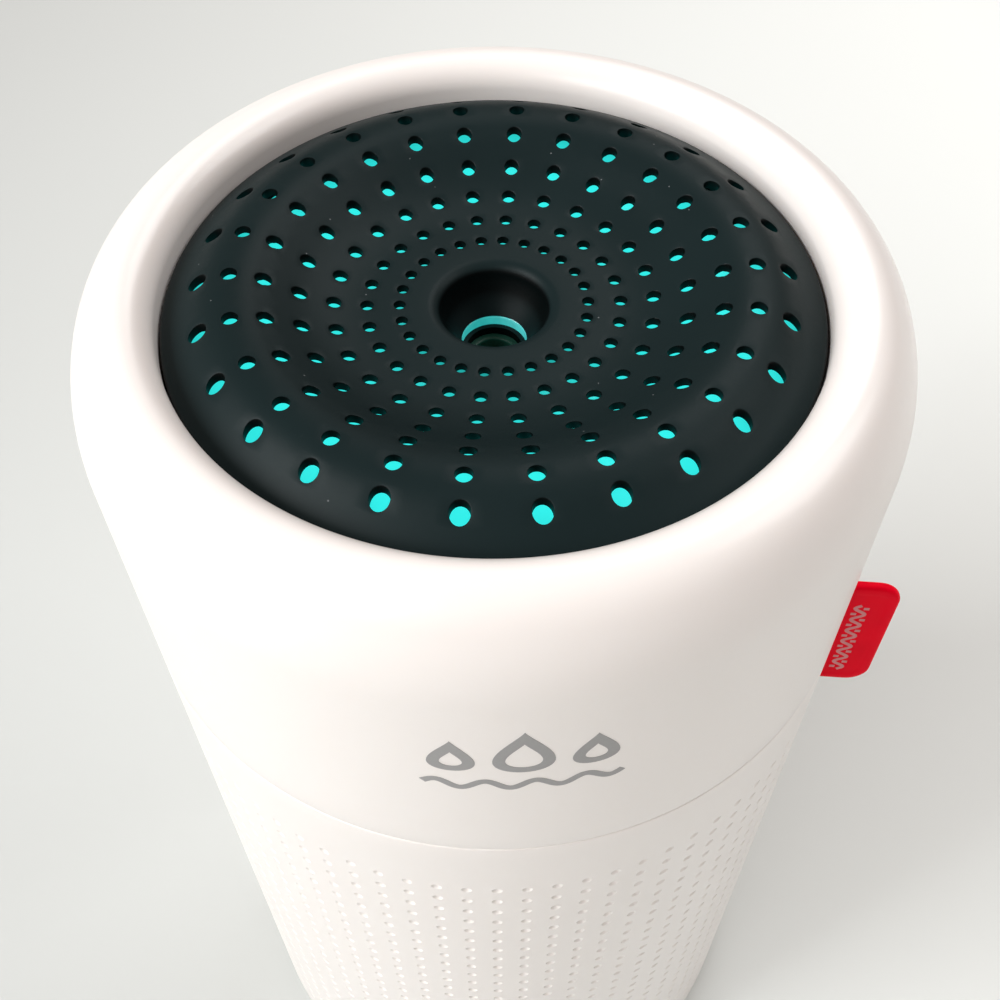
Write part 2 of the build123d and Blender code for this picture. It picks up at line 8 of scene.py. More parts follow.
import bmesh
import bpy
from mathutils import Euler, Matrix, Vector


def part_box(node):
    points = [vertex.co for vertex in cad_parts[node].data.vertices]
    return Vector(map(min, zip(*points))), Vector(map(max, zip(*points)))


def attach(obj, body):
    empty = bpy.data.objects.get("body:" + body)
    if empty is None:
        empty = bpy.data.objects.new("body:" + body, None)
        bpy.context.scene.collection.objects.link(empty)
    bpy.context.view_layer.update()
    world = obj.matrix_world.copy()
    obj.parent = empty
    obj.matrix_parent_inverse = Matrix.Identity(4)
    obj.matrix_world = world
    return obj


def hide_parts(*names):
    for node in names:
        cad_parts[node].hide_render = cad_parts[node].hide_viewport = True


bl_info = {
    "name": "Mist Diffuser Builder",
    "version": (1, 0, 0),
    "blender": (4, 5, 0),
    "location": "3D View > Sidebar > Diffuser",
    "description": "Builds a portable mist diffuser's pieces, finishes and studio around its CAD frame",
    "category": "Object",
}

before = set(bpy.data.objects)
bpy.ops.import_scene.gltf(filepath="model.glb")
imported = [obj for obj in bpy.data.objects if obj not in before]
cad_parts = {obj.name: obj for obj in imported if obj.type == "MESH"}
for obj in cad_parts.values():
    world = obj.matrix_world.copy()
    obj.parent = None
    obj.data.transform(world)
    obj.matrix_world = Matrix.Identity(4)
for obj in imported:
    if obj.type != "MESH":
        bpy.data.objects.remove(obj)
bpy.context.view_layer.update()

MM = 0.001
MERGE_DISTANCE = 0.004 * MM


def node_box(node):
    """A CAD node's lowest and highest corners, in millimetres."""
    low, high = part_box(node)
    return low / MM, high / MM


shell_low, shell_high = node_box("upper_housing")
sleeve_low, sleeve_high = node_box("outer_sleeve")
cover_low, cover_high = node_box("top_cover")

BODY_R = round((sleeve_high.y - sleeve_low.y) / 2, 1)
INK_GAP = 0.005
BLACK = (0.0, 0.0, 0.0)


# ---------------------------------------------------------------- settings

class ShellSettings(bpy.types.PropertyGroup):
    """The white upper shell and its rounded rim."""

    rim_round: bpy.props.FloatProperty(
        name="Rim Round", description="Width of the rim's outer round, mm", default=7.1, min=1.0)
    rim_drop: bpy.props.FloatProperty(
        name="Rim Drop", description="Height of the rim's outer round, mm", default=12.0, min=1.0)
    lip_round: bpy.props.FloatProperty(
        name="Lip Round", description="Radius of the rim's inner round, mm", default=3.3, min=0.5)
    bore: bpy.props.FloatProperty(
        name="Bore", description="Radius inside the rim, mm", default=37.1, min=10.0)
    ledge: bpy.props.FloatProperty(
        name="Ledge", description="Inner radius of the ledge that carries the cover, mm", default=33.0)
    wall: bpy.props.FloatProperty(name="Wall", description="Wall thickness, mm", default=2.2, min=0.5)
    segments: bpy.props.IntProperty(
        name="Segments", description="Faces around the shell", default=288, min=24)
    colour: bpy.props.FloatVectorProperty(
        name="Colour", description="Moulded plastic colour", subtype="COLOR", size=3,
        default=(0.86, 0.828, 0.798), min=0.0, max=1.0)


class CoverSettings(bpy.types.PropertyGroup):
    """The perforated cover and its nozzle."""

    columns: bpy.props.IntProperty(
        name="Columns", description="Holes in each ring", default=26, min=3)
    first_ring: bpy.props.FloatProperty(
        name="First Ring", description="Radius of the innermost ring of holes, mm", default=10.56)
    ring_step: bpy.props.FloatProperty(
        name="Ring Step", description="Distance between rings of holes, mm", default=3.64)
    start_angle: bpy.props.FloatProperty(
        name="Start Angle", description="Angle of the first column of holes", subtype="ANGLE",
        default=math.radians(-85.3))
    wall: bpy.props.FloatProperty(name="Wall", description="Wall thickness, mm", default=1.0, min=0.2)
    edge: bpy.props.FloatProperty(
        name="Hole Edge", description="Softened edge around each hole, mm", default=0.12, min=0.0)
    colour: bpy.props.FloatVectorProperty(
        name="Colour", description="Moulded plastic colour", subtype="COLOR", size=3,
        default=(0.0066, 0.0145, 0.0155), min=0.0, max=1.0)


class SleeveSettings(bpy.types.PropertyGroup):
    """The dimpled sleeve around the tank."""

    columns: bpy.props.IntProperty(
        name="Columns", description="Columns of dimples", default=80, min=8)
    rows: bpy.props.IntProperty(name="Rows", description="Rows of dimples", default=28, min=1)
    pitch: bpy.props.FloatProperty(
        name="Row Pitch", description="Height between rows, mm", default=3.72, min=1.0)
    first_row: bpy.props.FloatProperty(
        name="Top Row", description="Height of the top row of dimples, mm", default=116.6)
    dimple: bpy.props.FloatProperty(
        name="Dimple", description="Diameter of a dimple, mm", default=1.28, min=0.2)
    depth: bpy.props.FloatProperty(
        name="Depth", description="Depth of a dimple, mm", default=0.33, min=0.05)
    start_angle: bpy.props.FloatProperty(
        name="Start Angle", description="Angle of the first column", subtype="ANGLE",
        default=math.radians(-88.93))


class MarkSettings(bpy.types.PropertyGroup):
    """The printed marks on the shell and on the tag."""

    width: bpy.props.FloatProperty(name="Width", description="Width of the front mark, mm", default=21.0)
    middle: bpy.props.FloatProperty(name="Middle", description="Height of its middle, mm", default=152.0)
    stroke: bpy.props.FloatProperty(name="Stroke", description="Width of a main line, mm", default=1.35)
    ink: bpy.props.FloatProperty(name="Ink", description="Thickness of the print, mm", default=0.03)
    colour: bpy.props.FloatVectorProperty(
        name="Colour", description="Ink colour", subtype="COLOR", size=3,
        default=(0.30, 0.30, 0.30), min=0.0, max=1.0)
    tag_colour: bpy.props.FloatVectorProperty(
        name="Tag Ink", description="Colour of the tag's print", subtype="COLOR", size=3,
        default=(0.68, 0.21, 0.22), min=0.0, max=1.0)


class TagSettings(bpy.types.PropertyGroup):
    """The soft side tag."""

    angle: bpy.props.FloatProperty(
        name="Angle", description="Where the tag stands around the body", subtype="ANGLE",
        default=math.radians(-8.0))
    thickness: bpy.props.FloatProperty(name="Thickness", description="Thickness, mm", default=1.5)
    corner: bpy.props.FloatProperty(name="Corner", description="Outer corner radius, mm", default=3.5)
    edge: bpy.props.FloatProperty(name="Edge", description="Radius of its soft edge, mm", default=0.6)
    colour: bpy.props.FloatVectorProperty(
        name="Colour", description="Silicone colour", subtype="COLOR", size=3,
        default=(0.88, 0.0005, 0.018), min=0.0, max=1.0)


class LightSettings(bpy.types.PropertyGroup):
    """The lamp inside the head, and the studio."""

    glow: bpy.props.FloatVectorProperty(
        name="Glow", description="Colour of the lamp", subtype="COLOR", size=3,
        default=(0.03, 0.84, 0.80), min=0.0, max=1.0)
    glow_strength: bpy.props.FloatProperty(
        name="Glow Strength", description="Brightness of the lit disc", default=1.1, min=0.0)
    floor: bpy.props.FloatVectorProperty(
        name="Floor", description="Colour of the floor", subtype="COLOR", size=3,
        default=(0.93, 0.975, 0.955), min=0.0, max=1.0)
    surround: bpy.props.FloatVectorProperty(
        name="Surround", description="Colour of the even surrounding light", subtype="COLOR", size=3,
        default=(1.0, 0.79, 0.71), min=0.0, max=1.0)
    backdrop: bpy.props.FloatVectorProperty(
        name="Backdrop", description="Colour behind the floor", subtype="COLOR", size=3,
        default=(0.78, 0.78, 0.755), min=0.0, max=1.0)
    ambient: bpy.props.FloatProperty(
        name="Ambient", description="Strength of the even surrounding light", default=0.262, min=0.0)
    front_power: bpy.props.FloatProperty(
        name="Front", description="Power of the soft light in front", unit="POWER", default=3.1)
    left_power: bpy.props.FloatProperty(
        name="Left", description="Power of the soft light on the left", unit="POWER", default=9.1)
    back_power: bpy.props.FloatProperty(
        name="Back", description="Power of the soft light behind", unit="POWER", default=3.3)
    right_power: bpy.props.FloatProperty(
        name="Right", description="Power of the soft light on the right", unit="POWER", default=2.7)


SETTINGS = (
    ("diffuser_shell", ShellSettings),
    ("diffuser_cover", CoverSettings),
    ("diffuser_sleeve", SleeveSettings),
    ("diffuser_mark", MarkSettings),
    ("diffuser_tag", TagSettings),
    ("diffuser_light", LightSettings),
)


# ---------------------------------------------------------------- outlines and meshes

def arc(centre, radii, first, last, steps):
    """Points along an arc or a quarter of an ellipse, from one angle to another, in degrees."""
    points = []
    for step in range(steps + 1):
        angle = math.radians(first + (last - first) * step / steps)
        points.append((centre[0] + radii[0] * math.cos(angle), centre[1] + radii[1] * math.sin(angle)))
    return points


def turn(angle, radius, height):
    """The place, in metres, at an angle, radius and height about the body's axis."""
    return Vector((radius * math.cos(angle), radius * math.sin(angle), height)) * MM


def lathe(mesh, outline, segments, start=0.0, closed=True):
    """Turns an outline of (radius, height) points about the body's axis.  A radius of 0 is a pole."""
    rings = []
    for radius, height in outline:
        count = segments if radius else 1
        rings.append([mesh.verts.new(turn(start + math.tau * i / segments, radius, height))
                      for i in range(count)])
    pairs = list(zip(rings, rings[1:]))
    if closed:
        pairs.append((rings[-1], rings[0]))
    for lower, upper in pairs:
        for i in range(segments):
            j = (i + 1) % segments
            corners = [lower[i % len(lower)], lower[j % len(lower)],
                       upper[j % len(upper)], upper[i % len(upper)]]
            corners = list(dict.fromkeys(corners))
            if len(corners) > 2:
                mesh.faces.new(corners)
    return rings


def to_mesh(mesh, name, smooth_angle=40.0, recalculate=True):
    """Ends a bmesh: merged, facing outwards, smooth but for its sharp edges."""
    if recalculate:
        bmesh.ops.remove_doubles(mesh, verts=mesh.verts, dist=MERGE_DISTANCE)
        bmesh.ops.recalc_face_normals(mesh, faces=mesh.faces)
    limit = math.radians(smooth_angle)
    for face in mesh.faces:
        face.smooth = True
    for edge in mesh.edges:
        edge.smooth = len(edge.link_faces) == 2 and edge.calc_face_angle(0.0) < limit
    data = bpy.data.meshes.new(name)
    mesh.to_mesh(data)
    mesh.free()
    return data


def add_piece(name, data, finish, body, stands_for=()):
    """Puts a finished mesh in the scene, riding on its body, in place of the nodes it stands for."""
    piece = bpy.data.objects.new(name, data)
    bpy.context.scene.collection.objects.link(piece)
    data.materials.clear()
    data.materials.append(finish_named(finish))
    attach(piece, body)
    if stands_for:
        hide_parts(*stands_for)


def coat_node(node, material):
    """Gives a carried CAD node its finish."""
    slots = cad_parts[node].data.materials
    if not slots:
        slots.append(material)
    for index in range(len(slots)):
        slots[index] = material


def cut(piece_mesh, cutter_mesh):
    """The first mesh with the second one cut out of it."""
    scene = bpy.context.scene
    piece = bpy.data.objects.new("cut_piece", piece_mesh)
    cutter = bpy.data.objects.new("cut_tool", cutter_mesh)
    scene.collection.objects.link(piece)
    scene.collection.objects.link(cutter)
    step = piece.modifiers.new("cut", "BOOLEAN")
    step.operation = "DIFFERENCE"
    step.solver = "EXACT"
    step.object = cutter
    result = bpy.data.meshes.new_from_object(piece.evaluated_get(bpy.context.evaluated_depsgraph_get()))
    bpy.data.objects.remove(piece)
    bpy.data.objects.remove(cutter)
    return result


# ---------------------------------------------------------------- repeats by geometry nodes

def ring_tree():
    """A node tree that stands copies of a cell in columns and rows about Z and joins them to a base."""
    name = "Ring of Cells"
    if name in bpy.data.node_groups:
        return bpy.data.node_groups[name]
    tree = bpy.data.node_groups.new(name, "GeometryNodeTree")
    face = tree.interface
    for label, kind in (("Geometry", "Geometry"), ("Cell", "Object"), ("Columns", "Int"), ("Rows", "Int"),
                        ("Row Step", "Float"), ("Start Angle", "Float"), ("Merge Distance", "Float"),
                        ("Material", "Material")):
        face.new_socket(label, in_out="INPUT", socket_type="NodeSocket" + kind)
    face.new_socket("Geometry", in_out="OUTPUT", socket_type="NodeSocketGeometry")

    def step(kind, inputs, **settings):
        """A node with its settings made, its inputs set or linked, and its first output given back."""
        node = tree.nodes.new(kind)
        for key, value in settings.items():
            setattr(node, key, value)
        for key, value in inputs.items():
            if isinstance(value, (int, float)):
                node.inputs[key].default_value = value
            else:
                tree.links.new(value, node.inputs[key])
        return node.outputs[0] if node.outputs else None

    def calc(operation, first, second=0.0):
        return step("ShaderNodeMath", {0: first, 1: second}, operation=operation)

    given = tree.nodes.new("NodeGroupInput").outputs
    columns = given["Columns"]
    index = step("GeometryNodeInputIndex", {})
    row = calc("FLOOR", calc("DIVIDE", calc("ADD", index, 0.5), columns))
    column = calc("SUBTRACT", index, calc("MULTIPLY", row, columns))
    angle = calc("ADD", given["Start Angle"], calc("MULTIPLY", column, calc("DIVIDE", math.tau, columns)))
    place = step("ShaderNodeCombineXYZ", {"Z": calc("MULTIPLY", row, given["Row Step"])})
    spin = step("ShaderNodeCombineXYZ", {"Z": angle})
    points = step("GeometryNodePoints", {"Count": calc("MULTIPLY", columns, given["Rows"])})
    lifted = step("GeometryNodeSetPosition", {"Geometry": points, "Offset": place})
    cell = tree.nodes.new("GeometryNodeObjectInfo")
    tree.links.new(given["Cell"], cell.inputs["Object"])
    copies = step("GeometryNodeInstanceOnPoints", {
        "Points": lifted, "Instance": cell.outputs["Geometry"], "Rotation": spin})
    joined = tree.nodes.new("GeometryNodeJoinGeometry")
    tree.links.new(step("GeometryNodeRealizeInstances", {0: copies}), joined.inputs[0])
    tree.links.new(given["Geometry"], joined.inputs[0])
    merged = step("GeometryNodeMergeByDistance", {
        "Geometry": joined.outputs[0], "Distance": given["Merge Distance"]})
    painted = step("GeometryNodeSetMaterial", {"Geometry": merged, "Material": given["Material"]})
    step("NodeGroupOutput", {0: painted})
    return tree


def ring_of_cells(name, base, cell, material, columns, rows=1, row_step=0.0, start=0.0):
    """A plain mesh of a base joined to cells that repeat around it and in rows up it."""
    scene = bpy.context.scene
    host = bpy.data.objects.new(name + "_host", base)
    model = bpy.data.objects.new(name + "_cell", cell)
    scene.collection.objects.link(host)
    scene.collection.objects.link(model)
    step = host.modifiers.new("cells", "NODES")
    step.node_group = ring_tree()
    values = {"Cell": model, "Columns": columns, "Rows": rows, "Row Step": row_step,
              "Start Angle": start, "Merge Distance": MERGE_DISTANCE, "Material": material}
    for item in step.node_group.interface.items_tree:
        if item.item_type == "SOCKET" and item.in_out == "INPUT" and item.name in values:
            step[item.identifier] = values[item.name]
    result = bpy.data.meshes.new_from_object(host.evaluated_get(bpy.context.evaluated_depsgraph_get()))
    host.modifiers.remove(step)
    bpy.data.objects.remove(host)
    bpy.data.objects.remove(model)
    tidy = bmesh.new()
    tidy.from_mesh(result)
    bpy.data.meshes.remove(result)
    return tidy


# ---------------------------------------------------------------- finishes

class Wire:
    """A shader socket with arithmetic, so that an expression on values adds its Math nodes."""

    def __init__(self, finish, socket):
        self.finish = finish
        self.socket = socket

    def calc(self, operation, *values):
        """The output of one Math node."""
        node = self.finish.node("Math", {"operation": operation}, dict(enumerate(values)))
        return Wire(self.finish, node.outputs[0])

    def __add__(self, other):
        return self.calc("ADD", self, other)

    def __sub__(self, other):
        return self.calc("SUBTRACT", self, other)

    def __rsub__(self, other):
        return self.calc("SUBTRACT", other, self)

    def __mul__(self, other):
        return self.calc("MULTIPLY", self, other)

    def __truediv__(self, other):
        return self.calc("DIVIDE", self, other)

    def __pow__(self, other):
        return self.calc("POWER", self, other)

    def __lt__(self, other):
        return self.calc("LESS_THAN", self, other)

    __radd__ = __add__
    __rmul__ = __mul__

    def clamped(self):
        """The value held between 0 and 1."""
        return self.calc("MAXIMUM", self.calc("MINIMUM", self, 1.0), 0.0)


class Finish:
    """One material: a Principled shader and the nodes that feed it."""

    def __init__(self, name):
        self.material = bpy.data.materials.new(name)
        self.material.use_nodes = True
        self.tree = self.material.node_tree
        self.tree.nodes.clear()
        self.shader = self.node("BsdfPrincipled")
        out = self.node("OutputMaterial")
        self.tree.links.new(self.shader.outputs[0], out.inputs["Surface"])

    def node(self, kind, settings=None, values=None):
        """Any shader node, with its settings made first and then its sockets set or linked."""
        node = self.tree.nodes.new("ShaderNode" + kind)
        for key, value in (settings or {}).items():
            if key == "stops":
                ramp = node.color_ramp
                while len(ramp.elements) < len(value):
                    ramp.elements.new(1.0)
                for element, (position, grey) in zip(ramp.elements, value):
                    element.position = position
                    element.color = (grey, grey, grey, 1.0)
            else:
                setattr(node, key, value)
        for key, value in (values or {}).items():
            self.set_socket(node.inputs[key], value)
        return node

    def set_socket(self, socket, value):
        """Links a socket to a wire, or sets its own value."""
        if isinstance(value, Wire):
            self.tree.links.new(value.socket, socket)
        elif socket.type == "RGBA" and len(value) == 3:
            socket.default_value = (*value, 1.0)
        else:
            socket.default_value = value

    def set(self, **values):
        """Sets or links the shader's sockets, whose names are written with underscores."""
        for key, value in values.items():
            self.set_socket(self.shader.inputs[key.replace("_", " ")], value)

    def coords(self, centre=(0.0, 0.0, 0.0), turn_by=(0.0, 0.0, 0.0), scale=(1.0, 1.0, 1.0)):
        """Object coordinates in millimetres about a centre."""
        place = self.node("TexCoord").outputs["Object"]
        mapped = self.node("Mapping", {"vector_type": "TEXTURE"}, {
            "Vector": Wire(self, place), "Location": [c * MM for c in centre],
            "Rotation": turn_by, "Scale": [s * MM for s in scale]})
        return Wire(self, mapped.outputs[0])

    def axes(self, vector):
        """The three parts of a vector."""
        parts = self.node("SeparateXYZ", None, {0: vector}).outputs
        return [Wire(self, part) for part in parts]

    def radius(self, vector):
        """The distance from the axis through a vector's centre."""
        x, y, _ = self.axes(vector)
        return (x * x + y * y) ** 0.5

    def noise(self, vector, size, detail=2.0, roughness=0.5):
        """Smooth noise whose lumps are about size millimetres across."""
        node = self.node("TexNoise", None, {
            "Vector": vector, "Scale": 1.0 / size, "Detail": detail, "Roughness": roughness})
        return Wire(self, node.outputs["Fac"])

    def cells(self, vector, size, feature="F1", randomness=1.0):
        """Distance to the nearest of scattered points about size millimetres apart."""
        node = self.node("TexVoronoi", {"feature": feature}, {
            "Vector": vector, "Scale": 1.0 / size, "Randomness": randomness})
        return Wire(self, node.outputs["Distance"])

    def ramp(self, value, *stops):
        """Maps a value to a grey through (position, grey) stops."""
        node = self.node("ValToRGB", {"stops": stops}, {"Fac": value})
        return Wire(self, node.outputs["Color"])

    def mix(self, factor, first, second):
        """A colour between two colours."""
        node = self.node("Mix", {"data_type": "RGBA"}, {"Factor": factor})
        self.set_socket(node.inputs[6], first)
        self.set_socket(node.inputs[7], second)
        return Wire(self, node.outputs[2])

    def bump(self, height, distance, strength=1.0):
        """A normal from a height in millimetres times distance."""
        node = self.node("Bump", None, {
            "Height": height, "Distance": distance * MM, "Strength": strength})
        return Wire(self, node.outputs[0])


def shade(colour, factor):
    """A colour made darker or lighter."""
    return tuple(min(1.0, part * factor) for part in colour[:3])


def white_plastic():
    """Satin white moulded plastic, with a faint orange peel and a slightly warm, uneven tone."""
    colour = tuple(bpy.context.scene.diffuser_shell.colour)
    finish = Finish("white_plastic")
    place = finish.coords()
    broad = finish.noise(place, 38.0, 2.0)
    peel = finish.noise(place, 1.1, 3.0, 0.55)
    finish.set(
        Base_Color=finish.mix(broad, shade(colour, 0.985), shade(colour, 1.015)),
        Roughness=peel * 0.06 + 0.29,
        IOR=1.53,
        Coat_Weight=0.18,
        Coat_Roughness=0.12,
        Subsurface_Weight=0.06,
        Subsurface_Radius=(1.0, 0.85, 0.7),
        Subsurface_Scale=1.2 * MM,
        Normal=finish.bump(peel, 0.010),
    )
    return finish.material


def black_plastic():
    """Satin blue-black moulded plastic with fine spark texture, dust and a few hair scratches, and
    painted shade on its faces that do not look up.
    """
    colour = tuple(bpy.context.scene.diffuser_cover.colour)
    finish = Finish("black_plastic")
    place = finish.coords()
    grain = finish.noise(place, 0.28, 2.0, 0.6)
    broad = finish.noise(place, 14.0, 3.0)
    specks = finish.cells(place, 3.1) < 0.030
    streak_place = finish.coords(turn_by=(0.0, 0.0, 0.7), scale=(9.0, 0.5, 3.0))
    streaks = finish.ramp(finish.noise(streak_place, 1.0, 4.0, 0.7), (0.72, 0.0), (0.80, 1.0))
    dust = specks * 0.35 + streaks * 0.06
    # Painted shade: faces that do not look up, such as the hole walls, the funnel and the skirt, are
    # darkened to about an eighth of the colour.
    upward = finish.axes(Wire(finish, finish.node("NewGeometry").outputs["Normal"]))[2]
    painted_wall_shade_factor = finish.ramp(upward, (0.42, 0.0), (0.70, 1.0))
    base = finish.mix(painted_wall_shade_factor, shade(colour, 0.12),
                      finish.mix(broad, shade(colour, 0.9), shade(colour, 1.15)))
    finish.set(
        Base_Color=finish.mix(dust.clamped(), base, (0.32, 0.34, 0.35)),
        Roughness=grain * 0.10 + broad * 0.05 + 0.38,
        IOR=1.5,
        Specular_IOR_Level=0.10,
        Normal=finish.bump(grain, 0.006),
    )
    return finish.material


def red_silicone():
    """Soft red silicone, slightly cloudy, with a fine matt skin."""
    colour = tuple(bpy.context.scene.diffuser_tag.colour)
    finish = Finish("red_silicone")
    place = finish.coords()
    cloud = finish.noise(place, 6.0, 2.0)
    skin = finish.noise(place, 0.22, 2.0)
    finish.set(
        Base_Color=finish.mix(cloud, shade(colour, 0.92), shade(colour, 1.12)),
        Roughness=skin * 0.12 + 0.40,
        IOR=1.43,
        Specular_IOR_Level=0.03,
        Subsurface_Weight=0.12,
        Subsurface_Radius=(1.0, 0.15, 0.1),
        Subsurface_Scale=0.8 * MM,
        Normal=finish.bump(skin, 0.006),
    )
    return finish.material


def ink(name, colour):
    """Pad-printed ink, thin, with slightly broken coverage."""
    finish = Finish(name)
    place = finish.coords()
    cover = finish.noise(place, 0.35, 3.0, 0.6)
    finish.set(
        Base_Color=finish.mix(cover, shade(colour, 0.93), shade(colour, 1.10)),
        Roughness=cover * 0.15 + 0.38,
        Normal=finish.bump(cover, 0.003),
    )
    return finish.material


def lit_acrylic():
    """The milky disc under the cover, lit from below by a ring of lamps."""
    light = bpy.context.scene.diffuser_light
    low, high = node_box("leds")
    half_lamp, halo_width, dark_edge = 1.5, 19.0, 1.2
    halo_share, grain_share, least = 0.80, 0.16, 0.08
    finish = Finish("lit_acrylic")
    radius = finish.radius(finish.coords())
    ring_r = (high.x - low.x) / 2 - half_lamp
    halo = 1 - ((radius - ring_r) / halo_width) ** 2
    grain = finish.noise(finish.coords(), 2.4, 3.0)
    level = (halo * halo_share + grain * grain_share + least).clamped()
    level = level * (radius < cover_high.y - dark_edge)
    finish.set(
        Base_Color=(0.05, 0.30, 0.28),
        Roughness=grain * 0.1 + 0.35,
        Emission_Color=finish.mix(level, BLACK, tuple(light.glow)),
        Emission_Strength=light.glow_strength,
    )
    return finish.material


def lit_ring():
    """The small clear ring in the nozzle, brightened by the lamp's light."""
    glow = tuple(bpy.context.scene.diffuser_light.glow)
    finish = Finish("lit_ring")
    cloud = finish.noise(finish.coords(), 1.3, 3.0)
    finish.set(
        Base_Color=(0.12, 0.38, 0.40),
        Roughness=cloud * 0.1 + 0.12,
        IOR=1.49,
        Emission_Color=finish.mix(cloud, shade(glow, 0.30), shade(glow, 0.62)),
        Emission_Strength=0.8,
    )
    return finish.material


def moulded(name, colour, roughness, lump, height, ior):
    """A plain moulded, cast or stamped finish, with a fine texture of its own lump size and height."""
    finish = Finish(name)
    place = finish.coords()
    fine = finish.noise(place, lump, 3.0, 0.55)
    broad = finish.noise(place, 9.0, 2.0)
    finish.set(
        Base_Color=finish.mix(broad, shade(colour, 0.92), shade(colour, 1.07)),
        Roughness=fine * 0.12 + roughness - 0.06,
        IOR=ior,
        Normal=finish.bump(fine, height),
    )
    return finish.material


def frosted_plastic():
    """Frosted translucent plastic of the tank."""
    finish = Finish("frosted_plastic")
    place = finish.coords()
    frost = finish.noise(place, 0.5, 3.0, 0.6)
    broad = finish.noise(place, 24.0, 2.0)
    finish.set(
        Base_Color=finish.mix(broad, (0.74, 0.78, 0.80), (0.80, 0.84, 0.86)),
        Roughness=frost * 0.14 + 0.33,
        IOR=1.49,
        Subsurface_Weight=0.35,
        Subsurface_Radius=(1.0, 1.0, 1.0),
        Subsurface_Scale=3.0 * MM,
        Normal=finish.bump(frost, 0.01),
    )
    return finish.material


def mesh_steel():
    """The vibrating disc: bright metal pierced by a field of micro holes at its middle, the holes
    coloured near black as painted shade.
    """
    pitch, hole_share, field_r = 0.16, 0.28, 2.0
    finish = Finish("mesh_steel")
    place = finish.coords()
    field = finish.radius(place) < field_r
    holes = (finish.cells(place, pitch, randomness=0.0) < hole_share) * field
    brush = finish.noise(finish.coords(scale=(0.2, 3.0, 1.0)), 1.0, 3.0)
    finish.set(
        # Painted shade: the micro holes are coloured near black for the dark inside them.
        Base_Color=finish.mix(holes, (0.62, 0.55, 0.42), (0.08, 0.07, 0.05)),
        Metallic=1.0,
        Roughness=brush * 0.15 + 0.28,
        Normal=finish.bump(1 - holes, 0.02),
    )
    return finish.material


def cotton():
    """Pressed cotton fibre of the wick."""
    finish = Finish("cotton")
    lengthwise = finish.coords(scale=(1.0, 1.0, 9.0))
    fibre = finish.noise(lengthwise, 0.35, 4.0, 0.65)
    tuft = finish.noise(finish.coords(), 2.6, 3.0)
    finish.set(
        Base_Color=finish.mix(fibre, (0.66, 0.63, 0.56), (0.88, 0.86, 0.80)),
        Roughness=tuft * 0.1 + 0.85,
        Sheen_Weight=0.4,
        Sheen_Roughness=0.5,
        Normal=finish.bump(fibre + tuft * 0.6, 0.12),
    )
    return finish.material


def circuit_board():
    """Solder-masked board with copper tracks showing as a slightly raised pattern."""
    finish = Finish("circuit_board")
    place = finish.coords()
    tracks = finish.ramp(finish.cells(place, 2.4, feature="DISTANCE_TO_EDGE", randomness=0.35),
                         (0.06, 1.0), (0.10, 0.0))
    fine = finish.noise(place, 0.4, 2.0)
    finish.set(
        Base_Color=finish.mix(tracks, (0.010, 0.110, 0.050), (0.035, 0.230, 0.100)),
        Roughness=fine * 0.1 + 0.28,
        Coat_Weight=0.3,
        Normal=finish.bump(tracks + fine * 0.1, 0.035),
    )
    return finish.material


def brushed_metal(name, colour, roughness):
    """Plated or drawn metal with fine lengthwise marks."""
    finish = Finish(name)
    marks = finish.noise(finish.coords(scale=(0.25, 0.25, 2.5)), 0.6, 4.0, 0.6)
    finish.set(
        Base_Color=finish.mix(marks, shade(colour, 0.88), shade(colour, 1.08)),
        Metallic=1.0,
        Roughness=marks * 0.16 + roughness - 0.08,
        Normal=finish.bump(marks, 0.004),
    )
    return finish.material


def floor_finish():
    """A pale table top with painted light and shade, darker on the left and lighter towards the right and
    the back, that fades into the backdrop far away.
    """
    light = bpy.context.scene.diffuser_light
    middle_tone, painted_light_side_slope, painted_light_depth_slope, cloud_share = 0.73, 0.0010, 0.0002, 0.02
    fade_start, fade_width = 390.0, 260.0
    finish = Finish("pale_floor")
    place = finish.coords()
    cloud = finish.noise(place, 220.0, 2.0)
    x, y, _ = finish.axes(place)
    # Painted light and shade: the floor is made darker on the left and lighter towards the right and the
    # back.
    tone = (x * painted_light_side_slope + y * painted_light_depth_slope + cloud * cloud_share + middle_tone).clamped()
    near = finish.mix(tone, BLACK, tuple(light.floor))
    reach = ((finish.radius(place) - fade_start) / fade_width).clamped()
    far = reach * reach * (3.0 - reach * 2.0)
    finish.set(
        Base_Color=finish.mix(far, near, BLACK),
        Roughness=cloud * 0.05 + 0.62,
        Specular_IOR_Level=0.3,
        Emission_Color=finish.mix(far, BLACK, tuple(light.backdrop)),
        Emission_Strength=1.0,
    )
    return finish.material


# Colour, roughness, size of the texture's lumps in mm, its height in mm, and index of refraction.
MOULDED = {
    "inner_plastic": ((0.76, 0.755, 0.74), 0.5, 0.6, 0.008, 1.5),
    "grey_silicone": ((0.36, 0.36, 0.355), 0.62, 0.4, 0.02, 1.42),
    "white_silicone": ((0.78, 0.76, 0.74), 0.55, 0.4, 0.012, 1.42),
    "clear_silicone": ((0.62, 0.66, 0.66), 0.34, 0.5, 0.006, 1.42),
    "green_silicone": ((0.014, 0.085, 0.058), 0.4, 0.5, 0.006, 1.42),
    "green_ceramic": ((0.012, 0.10, 0.06), 0.3, 0.5, 0.004, 1.6),
    "black_part": ((0.016, 0.016, 0.018), 0.42, 0.3, 0.006, 1.5),
    "lamp_package": ((0.78, 0.76, 0.60), 0.35, 0.5, 0.004, 1.5),
    "cell_wrap": ((0.03, 0.16, 0.42), 0.28, 1.4, 0.012, 1.5),
    "red_lead": ((0.52, 0.02, 0.02), 0.4, 0.5, 0.004, 1.5),
}
